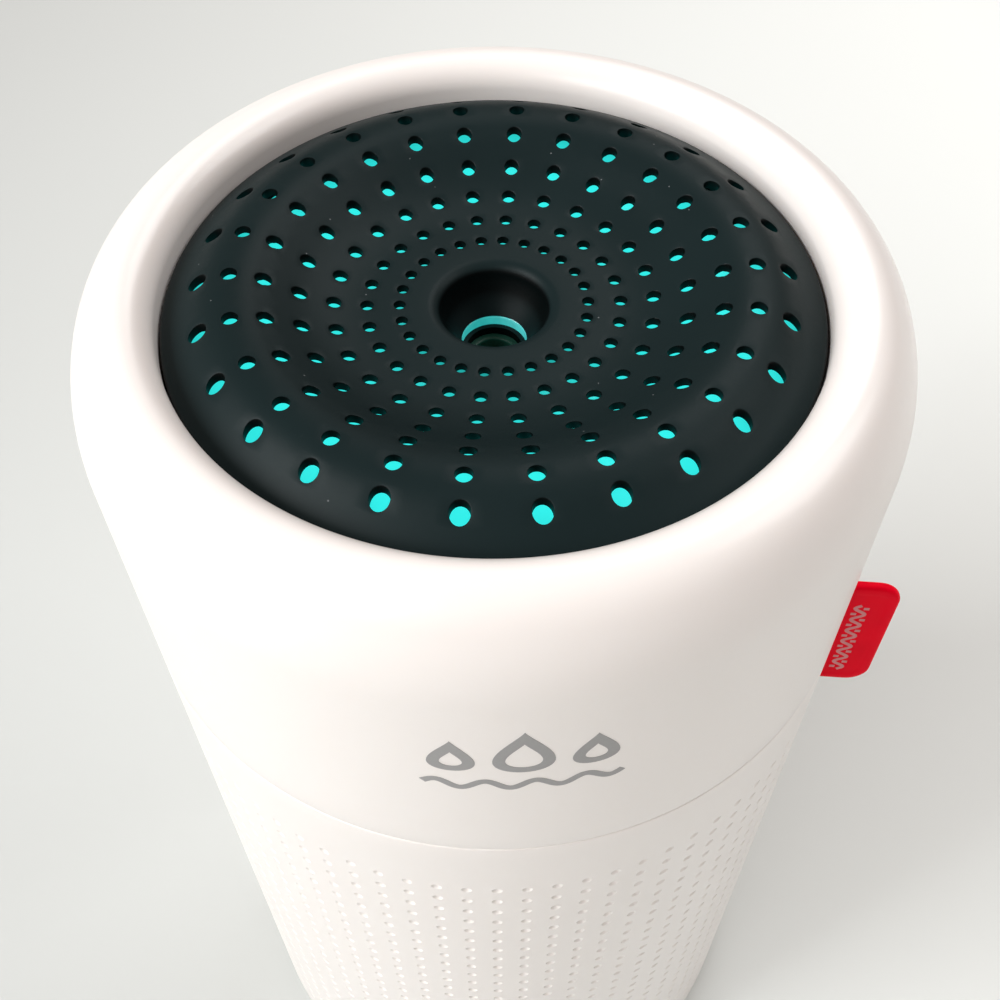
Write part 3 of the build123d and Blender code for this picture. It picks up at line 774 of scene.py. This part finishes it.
# Colour and roughness.
METALS = {
    "screw_steel": ((0.62, 0.62, 0.60), 0.3),
    "socket_steel": ((0.70, 0.70, 0.71), 0.24),
    "spring_steel": ((0.60, 0.60, 0.62), 0.22),
}
OWN_FINISHES = {
    "white_plastic": white_plastic,
    "black_plastic": black_plastic,
    "red_silicone": red_silicone,
    "lit_acrylic": lit_acrylic,
    "lit_ring": lit_ring,
    "frosted_plastic": frosted_plastic,
    "mesh_steel": mesh_steel,
    "cotton": cotton,
    "circuit_board": circuit_board,
    "pale_floor": floor_finish,
}


def make_finish(name):
    """Makes one of the finishes by its name."""
    mark = bpy.context.scene.diffuser_mark
    if name in MOULDED:
        return moulded(name, *MOULDED[name])
    if name in METALS:
        return brushed_metal(name, *METALS[name])
    if name in ("front_ink", "tag_ink"):
        return ink(name, tuple(mark.colour if name == "front_ink" else mark.tag_colour))
    return OWN_FINISHES[name]()


made_finishes = {}


def finish_named(name):
    """The material of that name, which is made once and shared."""
    if name not in made_finishes:
        made_finishes[name] = make_finish(name)
    return made_finishes[name]


# ---------------------------------------------------------------- operators

class MakeStage(bpy.types.Operator):
    """Makes the pale floor, the soft lights and the camera"""

    bl_idname = "diffuser.make_stage"
    bl_label = "Stage"

    floor_half, lamp_size, aim_height = 4.0, 0.5, 0.12
    # Each lamp's side, and its degrees left of the front and above the floor.
    lamps = (("front", 45, 35), ("left", 75, 35), ("back", -150, 50), ("right", -95, 45))
    camera_place, camera_turn = (-5.729, -102.464, 266.769), (37.565, 0.107, -3.675)
    lens_length, sensor_width = 44.914, 36.0

    def execute(self, context):
        light = context.scene.diffuser_light
        floor = bmesh.new()
        bmesh.ops.create_grid(floor, x_segments=1, y_segments=1, size=self.floor_half)
        data = bpy.data.meshes.new("floor")
        floor.to_mesh(data)
        floor.free()
        ground = bpy.data.objects.new("floor", data)
        context.scene.collection.objects.link(ground)
        data.materials.append(finish_named("pale_floor"))

        for side, around, above in self.lamps:
            self.soft_light(side + "_light", getattr(light, side + "_power"), around, above)
        self.surround(context, light)
        context.scene.view_settings.view_transform = "Standard"

        lens = bpy.data.cameras.new("camera")
        lens.lens, lens.sensor_width = self.lens_length, self.sensor_width
        lens.clip_start, lens.clip_end = 0.005, 20.0
        camera = bpy.data.objects.new("camera", lens)
        camera.location = Vector(self.camera_place) * MM
        camera.rotation_euler = Euler([math.radians(angle) for angle in self.camera_turn], "XYZ")
        context.scene.collection.objects.link(camera)
        context.scene.camera = camera
        return {"FINISHED"}

    @staticmethod
    def surround(context, light):
        """Even light from all round, with a pale backdrop where the camera looks past the floor."""
        world = bpy.data.worlds.new("studio")
        world.use_nodes = True
        nodes, links = world.node_tree.nodes, world.node_tree.links
        even = nodes["Background"]
        even.inputs["Color"].default_value = (*light.surround, 1.0)
        even.inputs["Strength"].default_value = light.ambient
        pale = nodes.new("ShaderNodeBackground")
        pale.inputs["Color"].default_value = (*light.backdrop, 1.0)
        either = nodes.new("ShaderNodeMixShader")
        links.new(nodes.new("ShaderNodeLightPath").outputs["Is Camera Ray"], either.inputs["Fac"])
        links.new(even.outputs[0], either.inputs[1])
        links.new(pale.outputs[0], either.inputs[2])
        links.new(either.outputs[0], nodes["World Output"].inputs["Surface"])
        context.scene.world = world

    def soft_light(self, name, power, around, above):
        """A square soft light a metre away, at its degrees left of the front and above the floor."""
        lamp = bpy.data.lights.new(name, "AREA")
        lamp.size = self.lamp_size
        lamp.energy = power
        aside, up = math.radians(around), math.radians(above)
        towards = Vector((-math.sin(aside) * math.cos(up), -math.cos(aside) * math.cos(up), math.sin(up)))
        holder = bpy.data.objects.new(name, lamp)
        holder.location = towards + Vector((0.0, 0.0, self.aim_height))
        holder.rotation_euler = (-towards).to_track_quat("-Z", "Y").to_euler()
        holder.visible_camera = False
        bpy.context.scene.collection.objects.link(holder)


class MakeShell(bpy.types.Operator):
    """Makes the white upper shell with its rounded rim and the openings at the back"""

    bl_idname = "diffuser.make_shell"
    bl_label = "Upper Shell"

    edge, edge_land, wall_loops = 0.2, 3.0, (12.0, 4.0)
    ledge_low, ledge_high, ledge_root_r, inside_top = 163.4, 165.0, 39.4, 163.0
    rim_inside = ((ledge_root_r, 170.8), (40.6, 172.6), (42.4, 171.6), (44.4, 168.0))
    hole_near, recess_near, recess_past, hole_far = 40, 46.0, 46.5, 52
    button_hole_r, recess_size, port_hole_size = 5.3, (13.6, 8.1), (9.6, 3.9)

    def outline(self, shell):
        """The shell's section, from its lower outer edge over the rim and back down the inside."""
        low, top, edge = shell_low.z, shell_high.z, self.edge
        shoulder = top - shell.rim_drop
        crest = BODY_R - shell.rim_round
        inside = BODY_R - shell.wall
        lip_z = top - shell.lip_round
        points = arc((BODY_R - edge, low + edge), (edge, edge), -90, 0, 4)
        points.append((BODY_R, low + self.edge_land))
        points += [(BODY_R, shoulder - below) for below in self.wall_loops]
        points += arc((crest, shoulder), (shell.rim_round, shell.rim_drop), 0, 90, 30)
        points += arc((crest, lip_z), (shell.lip_round, shell.lip_round), 90, 180, 14)[1:]
        points += [(shell.bore, self.ledge_high), (shell.ledge, self.ledge_high),
                   (shell.ledge, self.ledge_low), (self.ledge_root_r, self.ledge_low), *self.rim_inside,
                   (inside, self.inside_top), (inside, low)]
        return points

    def execute(self, context):
        shell = context.scene.diffuser_shell
        body = bmesh.new()
        lathe(body, self.outline(shell), shell.segments)
        body_mesh = to_mesh(body, "upper_shell")

        tool = bmesh.new()
        button_low, button_high = node_box("power_button")
        plug_low, plug_high = node_box("usb_plug_cover")
        button_z = (button_low.z + button_high.z) / 2
        plug_z = (plug_low.z + plug_high.z) / 2
        button_hole = arc((0, button_z), (self.button_hole_r, self.button_hole_r), 0, 360, 64)[:-1]
        self.rear_bar(tool, button_hole, self.hole_near, self.hole_far)
        self.rear_bar(tool, self.slot_outline(plug_z, *self.recess_size), self.recess_near, self.hole_far)
        self.rear_bar(tool, self.slot_outline(plug_z, *self.port_hole_size),
                      self.hole_near, self.recess_past)
        shell_mesh = bmesh.new()
        shell_mesh.from_mesh(cut(body_mesh, to_mesh(tool, "shell_tool")))
        add_piece("upper_shell", to_mesh(shell_mesh, "upper_shell"), "white_plastic",
                  "mist_head", ("upper_housing",))
        return {"FINISHED"}

    @staticmethod
    def slot_outline(middle, width, height):
        """A flat-sided oval about a height on the rear."""
        half, straight = height / 2, (width - height) / 2
        return (arc((straight, middle), (half, half), -90, 90, 16)
                + arc((-straight, middle), (half, half), 90, 270, 16))

    @staticmethod
    def rear_bar(tool, outline, near, far):
        """A bar of an outline's section that lies along Y, from near the axis to far."""
        ends = [[tool.verts.new(Vector((x, y, z)) * MM) for x, z in outline] for y in (near, far)]
        count = len(outline)
        for i in range(count):
            tool.faces.new((ends[0][i], ends[0][(i + 1) % count], ends[1][(i + 1) % count], ends[1][i]))
        tool.faces.new(ends[0])
        tool.faces.new(ends[1][::-1])


class MakeCover(bpy.types.Operator):
    """Makes the dished cover with its drilled holes and funnel nozzle"""

    bl_idname = "diffuser.make_cover"
    bl_label = "Perforated Cover"

    hole_sizes = (1.30, 1.45, 1.60, 1.65, 1.77, 1.80, 2.10)
    dish_z, dish_flat, dish_round, slope = 169.55, 13.5, 16.2, math.radians(31.2)
    crest_r, crest_z, inner_round, outer_round = 28.5, 174.65, 6.7, 6.8
    brim_slope, edge_round, skirt_z = math.radians(35.0), 1.2, 166.2
    mouth_r, mouth_round, throat_r, funnel_back_r = 6.0, 1.5, 3.75, 8.2
    funnel_steps, funnel_bow = 8, 0.3
    side_steps, round_steps = 4, 8

    def height(self, radius, inset=0.0):
        """Height of the cover's top face at a radius, or of the face that lies inset below it."""
        dish_end = self.dish_flat + (self.dish_round + inset) * math.sin(self.slope)
        crest_start = self.crest_r - (self.inner_round - inset) * math.sin(self.slope)
        if radius <= self.dish_flat:
            return self.dish_z - inset
        if radius <= dish_end:
            round_r = self.dish_round + inset
            drop = math.sqrt(round_r ** 2 - (radius - self.dish_flat) ** 2)
            return self.dish_z + self.dish_round - drop
        if radius <= crest_start:
            start_z = self.height(dish_end, inset)
            return start_z + (radius - dish_end) * math.tan(self.slope)
        brim_start = self.crest_r + (self.outer_round - inset) * math.sin(self.brim_slope)
        if radius > brim_start:
            return self.height(brim_start, inset) - (radius - brim_start) * math.tan(self.brim_slope)
        round_r = (self.inner_round if radius < self.crest_r else self.outer_round) - inset
        middle_z = self.crest_z - inset - round_r
        return middle_z + math.sqrt(max(0.0, round_r ** 2 - (radius - self.crest_r) ** 2))

    def cell(self, mesh, cover, ring_r, hole_r, half_angle):
        """One hole and the piece of cover around it, with its middle on the X axis."""
        low_r, high_r = ring_r - cover.ring_step / 2, ring_r + cover.ring_step / 2
        rounds = [i / self.round_steps * 2 - 1 for i in range(self.round_steps)]
        sides = [i / self.side_steps for i in range(self.side_steps)]
        rim = [(high_r, half_angle * t) for t in rounds]
        rim += [(high_r + (low_r - high_r) * t, half_angle) for t in sides]
        rim += [(low_r, -half_angle * t) for t in rounds]
        rim += [(low_r + (high_r - low_r) * t, -half_angle) for t in sides]
        # Each ring's share of the way out to the rim, its growth past the hole, and how far it lies
        # inside the wall and below the top face.
        levels = ((1.0, 0.0, 0.0, 0.0), (0.45, 0.0, 0.0, 0.0),
                  (0.0, cover.edge, 0.0, 0.0), (0.0, cover.edge * 0.3, 0.0, cover.edge * 0.3),
                  (0.0, 0.0, 0.0, cover.edge), (0.0, 0.0, cover.wall, 0.0), (1.0, 0.0, cover.wall, 0.0))
        rings = []
        count = len(rim)
        for blend, grow, inset, sink in levels:
            ring = []
            for number, (rim_r, rim_angle) in enumerate(rim):
                rim_x, rim_y = rim_r * math.cos(rim_angle), rim_r * math.sin(rim_angle)
                aim = math.tau * (number - self.round_steps / 2) / count
                near_r = hole_r + (grow if blend == 0.0 else cover.edge)
                x = ring_r + near_r * math.cos(aim)
                y = near_r * math.sin(aim)
                x, y = x + (rim_x - x) * blend, y + (rim_y - y) * blend
                z = self.height(math.hypot(x, y), inset) - sink
                ring.append(mesh.verts.new(Vector((x, y, z)) * MM))
            rings.append(ring)
        for outer, inner in zip(rings, rings[1:]):
            for i in range(count):
                mesh.faces.new((outer[i], outer[(i + 1) % count], inner[(i + 1) % count], inner[i]))

    def nozzle(self, cover, inner_edge):
        """The section from the inner ring of holes over the nozzle's mouth, down the funnel and back."""
        wall, throat_z = cover.wall, cover_low.z
        mouth_z = self.dish_z - self.mouth_round
        points = [(inner_edge, self.dish_z), (self.mouth_r + self.mouth_round, self.dish_z)]
        points += arc((self.mouth_r + self.mouth_round, mouth_z), (self.mouth_round,) * 2,
                      90, 180, 8)[1:]
        for step in range(1, self.funnel_steps + 1):
            t = step / self.funnel_steps
            bow = self.funnel_bow * math.sin(math.pi * t)
            points.append((self.mouth_r + (self.throat_r - self.mouth_r) * t + bow,
                           mouth_z + (throat_z - mouth_z) * t))
        points += [(self.throat_r + wall, throat_z), (self.funnel_back_r, self.dish_z - wall),
                   (inner_edge, self.dish_z - wall)]
        return points

    def brim(self, cover, outer_edge):
        """The section from the outer ring of holes round the brim's corner, down the skirt and back."""
        wall, outer_r = cover.wall, cover_high.y
        corner_cut = self.edge_round * math.tan((math.pi / 2 - self.brim_slope) / 2)
        middle = (outer_r - self.edge_round, self.height(outer_r) - corner_cut)
        points = [(outer_edge, self.height(outer_edge))]
        points += arc(middle, (self.edge_round,) * 2, 90 - math.degrees(self.brim_slope), 0, 8)
        points += [(outer_r, self.skirt_z), (outer_r - wall, self.skirt_z),
                   (outer_r - wall, self.height(outer_r - wall, wall)),
                   (outer_edge, self.height(outer_edge, wall))]
        return points

    def execute(self, context):
        cover = context.scene.diffuser_cover
        half_angle = math.pi / cover.columns
        sector = bmesh.new()
        for number, size in enumerate(self.hole_sizes):
            self.cell(sector, cover, cover.first_ring + number * cover.ring_step, size / 2, half_angle)
        bmesh.ops.remove_doubles(sector, verts=sector.verts, dist=MERGE_DISTANCE)
        sector_mesh = to_mesh(sector, "cover_sector", recalculate=False)

        inner_edge = cover.first_ring - cover.ring_step / 2
        outer_edge = cover.first_ring + (len(self.hole_sizes) - 0.5) * cover.ring_step
        segments = cover.columns * self.round_steps
        start = cover.start_angle - half_angle
        base = bmesh.new()
        lathe(base, self.nozzle(cover, inner_edge), segments, start, closed=False)
        lathe(base, self.brim(cover, outer_edge), segments, start, closed=False)
        base_mesh = to_mesh(base, "cover_base", recalculate=False)

        whole = ring_of_cells("cover", base_mesh, sector_mesh, finish_named("black_plastic"),
                              cover.columns, start=cover.start_angle)
        add_piece("perforated_cover", to_mesh(whole, "perforated_cover"), "black_plastic",
                  "mist_head", ("top_cover",))
        return {"FINISHED"}


class MakeSleeve(bpy.types.Operator):
    """Makes the lower sleeve with its field of dimples"""

    bl_idname = "diffuser.make_sleeve"
    bl_label = "Dimpled Sleeve"

    side_steps = 3
    # Each ring's share of the dimple's radius and of its depth.
    dimple_rings = ((1.1, 0.0), (0.78, 0.45), (0.42, 0.85))
    foot_round, foot_land, wall, mouth_r, top_round, top_land = 4.0, 1.0, 2.0, 41.0, 0.25, 3.0

    def cell(self, mesh, sleeve, middle):
        """One dimple and the patch of wall around it, with its middle on the X axis."""
        half_angle = math.pi / sleeve.columns
        half_high = sleeve.pitch / 2
        steps = [i / self.side_steps * 2 - 1 for i in range(self.side_steps)]
        rim = [(half_angle * t, half_high) for t in steps]
        rim += [(half_angle, -half_high * t) for t in steps]
        rim += [(-half_angle * t, -half_high) for t in steps]
        rim += [(-half_angle, half_high * t) for t in steps]
        radius = sleeve.dimple / 2
        rings = [[mesh.verts.new(turn(a, BODY_R, middle + z)) for a, z in rim]]
        for size, sink in self.dimple_rings:
            ring = []
            for rim_angle, rim_z in rim:
                aim = math.atan2(rim_z, rim_angle * BODY_R)
                across, up = radius * size * math.cos(aim), radius * size * math.sin(aim)
                deep_r = BODY_R - sleeve.depth * sink
                ring.append(mesh.verts.new(turn(across / BODY_R, deep_r, middle + up)))
            rings.append(ring)
        count = len(rim)
        for outer, inner in zip(rings, rings[1:]):
            for i in range(count):
                mesh.faces.new((outer[i], outer[(i + 1) % count], inner[(i + 1) % count], inner[i]))
        bottom = mesh.verts.new(turn(0.0, BODY_R - sleeve.depth, middle))
        for i in range(count):
            mesh.faces.new((rings[-1][i], rings[-1][(i + 1) % count], bottom))

    def execute(self, context):
        sleeve = context.scene.diffuser_sleeve
        cell = bmesh.new()
        last_row = sleeve.first_row - (sleeve.rows - 1) * sleeve.pitch
        self.cell(cell, sleeve, last_row)
        cell_mesh = to_mesh(cell, "dimple_cell", recalculate=False)

        segments = sleeve.columns * self.side_steps
        start = sleeve.start_angle - math.pi / sleeve.columns
        base_z, top_z, inside = sleeve_low.z, sleeve_high.z, BODY_R - self.wall
        corner, top_round = self.foot_round, self.top_round
        field_low = last_row - sleeve.pitch / 2
        field_high = sleeve.first_row + sleeve.pitch / 2
        edge = [(BODY_R, field_low), (BODY_R, base_z + corner + self.foot_land)]
        edge += arc((BODY_R - corner, base_z + corner), (corner, corner), 0, -90, 8)
        edge += [(self.mouth_r, base_z), (self.mouth_r, base_z + self.wall),
                 (inside, base_z + self.wall), (inside, top_z)]
        edge += arc((BODY_R - top_round, top_z - top_round), (top_round, top_round), 90, 0, 4)
        edge += [(BODY_R, top_z - self.top_land), (BODY_R, field_high)]
        base = bmesh.new()
        lathe(base, edge, segments, start, closed=False)
        base_mesh = to_mesh(base, "sleeve_base", recalculate=False)

        whole = ring_of_cells("sleeve", base_mesh, cell_mesh, finish_named("white_plastic"),
                              sleeve.columns, sleeve.rows, sleeve.pitch * MM, sleeve.start_angle)
        add_piece("dimpled_sleeve", to_mesh(whole, "dimpled_sleeve", 30.0), "white_plastic",
                  "tank_unit", ("outer_sleeve",))
        return {"FINISHED"}


def ribbon(mesh, path, width, thickness, place, closed=False):
    """A flat printed line along a path of (across, up) points, laid by a place function."""
    count = len(path)
    rows = []
    for i, (u, v) in enumerate(path):
        before = path[i - 1] if closed or i else path[i]
        after = path[(i + 1) % count] if closed or i < count - 1 else path[i]
        run = Vector((after[0] - before[0], after[1] - before[1])).normalized()
        side = Vector((-run.y, run.x)) * width / 2
        rows.append([mesh.verts.new(place(u + s * side.x, v + s * side.y, h))
                     for s, h in ((-1, 0.0), (-1, thickness), (1, thickness), (1, 0.0))])
    pairs = list(zip(rows, rows[1:]))
    if closed:
        pairs.append((rows[-1], rows[0]))
    for first, second in pairs:
        for k in range(4):
            mesh.faces.new((first[k], first[(k + 1) % 4], second[(k + 1) % 4], second[k]))
    if not closed:
        mesh.faces.new(rows[0])
        mesh.faces.new(rows[-1][::-1])


def band(mesh, outer, inner, thickness, place):
    """A flat printed band between two closed paths of as many points."""
    rings = [[mesh.verts.new(place(u, v, lift)) for u, v in path]
             for path, lift in ((outer, 0.0), (outer, thickness), (inner, thickness), (inner, 0.0))]
    count = len(outer)
    for first, second in zip(rings, rings[1:] + rings[:1]):
        for i in range(count):
            j = (i + 1) % count
            mesh.faces.new((first[i], first[j], second[j], second[i]))


def drop_path(middle, foot, width, tall, steps=48):
    """The outline of a drop that stands on its foot, with its point up."""
    swell, taper = 0.65, 1.5
    points = []
    for step in range(steps):
        t = math.tau * step / steps
        points.append((middle + width * swell * math.sin(t) * math.sin(t / 2) ** taper,
                       foot + tall / 2 + tall / 2 * math.cos(t)))
    return points


class MakeMark(bpy.types.Operator):
    """Makes the printed front mark: drops over a wave"""

    bl_idname = "diffuser.make_mark"
    bl_label = "Front Mark"

    # Each drop's middle, foot, width and height.
    drops = ((0.0, -2.2, 7.0, 8.6), (-7.4, -2.0, 5.4, 6.4), (7.4, -2.0, 5.4, 6.4))
    waves, wave_steps, wave_middle, wave_rise = 4, 120, -5.0, 0.75
    drop_stroke, foot_stroke, wave_stroke = 2.1, 0.8, 0.7

    def execute(self, context):
        mark = context.scene.diffuser_mark

        def place(across, up, lift):
            angle = math.radians(-90) + across / BODY_R
            return turn(angle, BODY_R + INK_GAP + lift, mark.middle + up)

        mesh = bmesh.new()
        for middle, foot, width, tall in self.drops:
            hollow = 1 - self.drop_stroke * mark.stroke / width
            inner_foot = foot + mark.stroke * self.foot_stroke
            outer = drop_path(middle, foot, width, tall)
            inner = drop_path(middle, inner_foot, width * hollow, tall * hollow)
            band(mesh, outer, inner, mark.ink, place)
        steps, waves = self.wave_steps, self.waves
        wave = [(mark.width * (i / steps - 0.5),
                 self.wave_middle + self.wave_rise * math.sin(math.tau * waves * i / steps))
                for i in range(steps + 1)]
        ribbon(mesh, wave, mark.stroke * self.wave_stroke, mark.ink, place)
        add_piece("front_mark", to_mesh(mesh, "front_mark"), "front_ink",
                  "mist_head")
        return {"FINISHED"}


class MakeTag(bpy.types.Operator):
    """Makes the soft side tag with its rounded edges and printed pattern"""

    bl_idname = "diffuser.make_tag"
    bl_label = "Side Tag"

    low, high, root_r, tip_r = 93.2, 118.8, 44.0, 58.3
    panel_depth, panel_inset, panel_slope, border = 0.08, 2.1, 1.8, 1.5
    print_low, print_high, print_r = 96.2, 114.2, 53.2
    waves, wave_steps, wave_reach, bar_half, stroke = 6, 96, 0.8, 0.4, 0.6

    @staticmethod
    def place(tag, radius, height, aside):
        """A place on the tag's middle plane, or aside of it."""
        along = Vector((math.cos(tag.angle), math.sin(tag.angle), 0))
        across = Vector((-math.sin(tag.angle), math.cos(tag.angle), 0))
        return (along * radius + across * aside + Vector((0, 0, height))) * MM

    def body(self, tag):
        """The tag: a sunk panel on each face inside a border, with soft edges all round."""
        corner, half, edge, depth = tag.corner, tag.thickness / 2, tag.edge, self.panel_depth
        rows = [(self.panel_inset, depth - half), (self.panel_slope, depth * 0.8 - half),
                (self.border, -half)]
        rows += [(edge * (1 - math.cos(math.radians(a))), edge * (1 - math.sin(math.radians(a))) - half)
                 for a in (90, 65, 40, 20, 0)]
        rows += [(inset, -offset) for inset, offset in reversed(rows)]
        mesh = bmesh.new()
        rings = []
        for inset, offset in rows:
            outline = [(self.root_r, self.low + inset)]
            outline += arc((self.tip_r - corner, self.low + corner), (corner - inset,) * 2, -90, 0, 12)
            outline += arc((self.tip_r - corner, self.high - corner), (corner - inset,) * 2, 0, 90, 12)
            outline += [(self.root_r, self.high - inset)]
            rings.append([mesh.verts.new(self.place(tag, r, z, offset)) for r, z in outline])
        count = len(rings[0])
        for first, second in zip(rings, rings[1:]):
            for i in range(count):
                j = (i + 1) % count
                mesh.faces.new((first[i], first[j], second[j], second[i]))
        mesh.faces.new(rings[0])
        mesh.faces.new(rings[-1][::-1])
        return mesh

    def printed(self, mesh, tag, ink, side):
        """The zigzag and its short bars on one face."""
        face = tag.thickness / 2 - self.panel_depth + INK_GAP

        def on_face(across, up, lift):
            return self.place(tag, across, up, side * (face + lift))

        steps, waves, tall = self.wave_steps, self.waves, self.print_high - self.print_low
        wave = [(self.print_r + self.wave_reach * math.sin(math.tau * waves * i / steps),
                 self.print_low + tall * i / steps) for i in range(steps + 1)]
        ribbon(mesh, wave, self.stroke, ink, on_face)
        for i in range(2 * waves):
            bar_z = self.print_low + tall * (i + 0.5) / (2 * waves)
            bar_r = self.print_r + (-self.wave_reach if i % 2 == 0 else self.wave_reach)
            ribbon(mesh, [(bar_r - self.bar_half, bar_z), (bar_r + self.bar_half, bar_z)],
                   self.stroke, ink, on_face)

    def execute(self, context):
        tag, mark = context.scene.diffuser_tag, context.scene.diffuser_mark
        add_piece("soft_tag", to_mesh(self.body(tag), "soft_tag", 50.0), "red_silicone",
                  "tank_unit", ("side_tag",))
        print_mesh = bmesh.new()
        for side in (-1, 1):
            self.printed(print_mesh, tag, mark.ink, side)
        add_piece("tag_print", to_mesh(print_mesh, "tag_print"), "tag_ink", "tank_unit")
        return {"FINISHED"}


class MakeButton(bpy.types.Operator):
    """Makes the rear power button with its printed symbol"""

    bl_idname = "diffuser.make_button"
    bl_label = "Power Button"

    flange_t, flange_step, face_round = 0.8, 0.6, 0.7
    dish_start, dish_end, dish_edge_depth, dish_depth = 1.3, 1.5, 0.22, 0.25
    symbol_r, symbol_stroke, symbol_t, symbol_gap = 1.7, 0.42, 0.06, -0.01
    bar_low, bar_high = 0.5, 2.2

    def execute(self, context):
        low, high = node_box("power_button")
        middle = (low.z + high.z) / 2
        flange_r = (high.z - low.z) / 2
        head_r, top = flange_r - self.flange_step, high.y
        outline = [(0.0, low.y), (flange_r, low.y), (flange_r, low.y + self.flange_t),
                   (head_r, low.y + self.flange_t), (head_r, top - self.face_round)]
        outline += arc((head_r - self.face_round, top - self.face_round), (self.face_round,) * 2,
                       0, 90, 6)[1:]
        outline += [(head_r - self.dish_start, top), (head_r - self.dish_end, top - self.dish_edge_depth),
                    (0.0, top - self.dish_depth)]
        mesh = bmesh.new()
        lathe(mesh, outline, 96, closed=False)
        for vertex in mesh.verts:
            x, y, z = vertex.co
            vertex.co = (x, z, middle * MM + y)
        add_piece("power_key", to_mesh(mesh, "power_key"), "white_plastic",
                  "button", ("power_button",))

        def place(across, up, lift):
            return Vector((-across, top - self.dish_depth + self.symbol_gap + lift, middle + up)) * MM

        symbol = bmesh.new()
        broken_ring = arc((0, 0), (self.symbol_r,) * 2, 120, 420, 40)
        bar = [(0.0, self.bar_low), (0.0, self.bar_high)]
        for path in (broken_ring, bar):
            ribbon(symbol, path, self.symbol_stroke, self.symbol_t, place)
        add_piece("power_symbol", to_mesh(symbol, "power_symbol"), "front_ink", "button")
        return {"FINISHED"}


class MakeLip(bpy.types.Operator):
    """Makes the atomizer seal's raised lip, seen down the nozzle"""

    bl_idname = "diffuser.make_lip"
    bl_label = "Atomizer Lip"

    bottom, top, outer_r, inner_r, round_r = 159.4, 161.6, 3.15, 2.35, 0.3

    def execute(self, context):
        bottom, top, round_r = self.bottom, self.top, self.round_r
        outline = [(self.outer_r, bottom), (self.outer_r, top), (self.inner_r + round_r, top)]
        outline += arc((self.inner_r + round_r, top - round_r), (round_r, round_r), 90, 180, 6)[1:]
        outline += [(self.inner_r, bottom)]
        mesh = bmesh.new()
        lathe(mesh, outline, 72)
        add_piece("atomizer_lip", to_mesh(mesh, "atomizer_lip"), "green_silicone",
                  "mist_head")
        return {"FINISHED"}


class CoatNodes(bpy.types.Operator):
    """Gives every carried CAD node its finish"""

    bl_idname = "diffuser.coat_nodes"
    bl_label = "Finishes on CAD Nodes"

    finishes = {
        "white_plastic": ("base_plate",),
        "inner_plastic": ("bottom_cover", "wick_tube", "tube_cap"),
        "frosted_plastic": ("inner_tank",),
        "grey_silicone": ("foot_pad",),
        "white_silicone": ("usb_plug_cover",),
        "clear_silicone": ("seal_ring",),
        "green_silicone": ("atomizer_gasket",),
        "lit_acrylic": ("light_diffuser",),
        "lit_ring": ("nozzle_light_ring",),
        "black_plastic": ("atomizer_retainer",),
        "mesh_steel": ("mesh_plate",),
        "green_ceramic": ("piezo_ring",),
        "circuit_board": ("led_board", "control_board"),
        "lamp_package": ("leds",),
        "black_part": ("control_chips", "tact_switch", "switch_plunger", "battery_holder"),
        "socket_steel": ("usb_socket",),
        "screw_steel": ("base_screws", "housing_screws", "retainer_screws", "led_board_screws",
                        "board_screws"),
        "cell_wrap": ("battery_cell",),
        "red_lead": ("battery_leads",),
        "cotton": ("wick",),
        "spring_steel": ("wick_spring",),
    }

    def execute(self, context):
        for finish, nodes in self.finishes.items():
            for node in nodes:
                coat_node(node, finish_named(finish))
        return {"FINISHED"}


class DiffuserPanel(bpy.types.Panel):
    """Lists the diffuser's sizes, colours and steps"""

    bl_idname = "VIEW3D_PT_diffuser"
    bl_label = "Mist Diffuser"
    bl_space_type = "VIEW_3D"
    bl_region_type = "UI"
    bl_category = "Diffuser"

    def draw(self, context):
        for name, group in SETTINGS:
            box = self.layout.box()
            box.label(text=group.__doc__)
            for key in group.__annotations__:
                box.prop(getattr(context.scene, name), key)
        for step in STEPS:
            self.layout.operator(step.bl_idname)


STEPS = (MakeStage, MakeShell, MakeCover, MakeSleeve, MakeMark, MakeTag, MakeButton, MakeLip,
         CoatNodes)


def register():
    for name, group in SETTINGS:
        bpy.utils.register_class(group)
        setattr(bpy.types.Scene, name, bpy.props.PointerProperty(type=group))
    for step in STEPS:
        bpy.utils.register_class(step)
    bpy.utils.register_class(DiffuserPanel)


def unregister():
    bpy.utils.unregister_class(DiffuserPanel)
    for step in reversed(STEPS):
        bpy.utils.unregister_class(step)
    for name, group in reversed(SETTINGS):
        delattr(bpy.types.Scene, name)
        bpy.utils.unregister_class(group)


def main():
    """Clears the startup objects and makes every piece in order."""
    register()
    for name in ("Cube", "Light", "Camera"):
        if name in bpy.data.objects:
            bpy.data.objects.remove(bpy.data.objects[name])
    for step in STEPS:
        area, operation = step.bl_idname.split(".")
        getattr(getattr(bpy.ops, area), operation)()


if __name__ == "__main__":
    main()
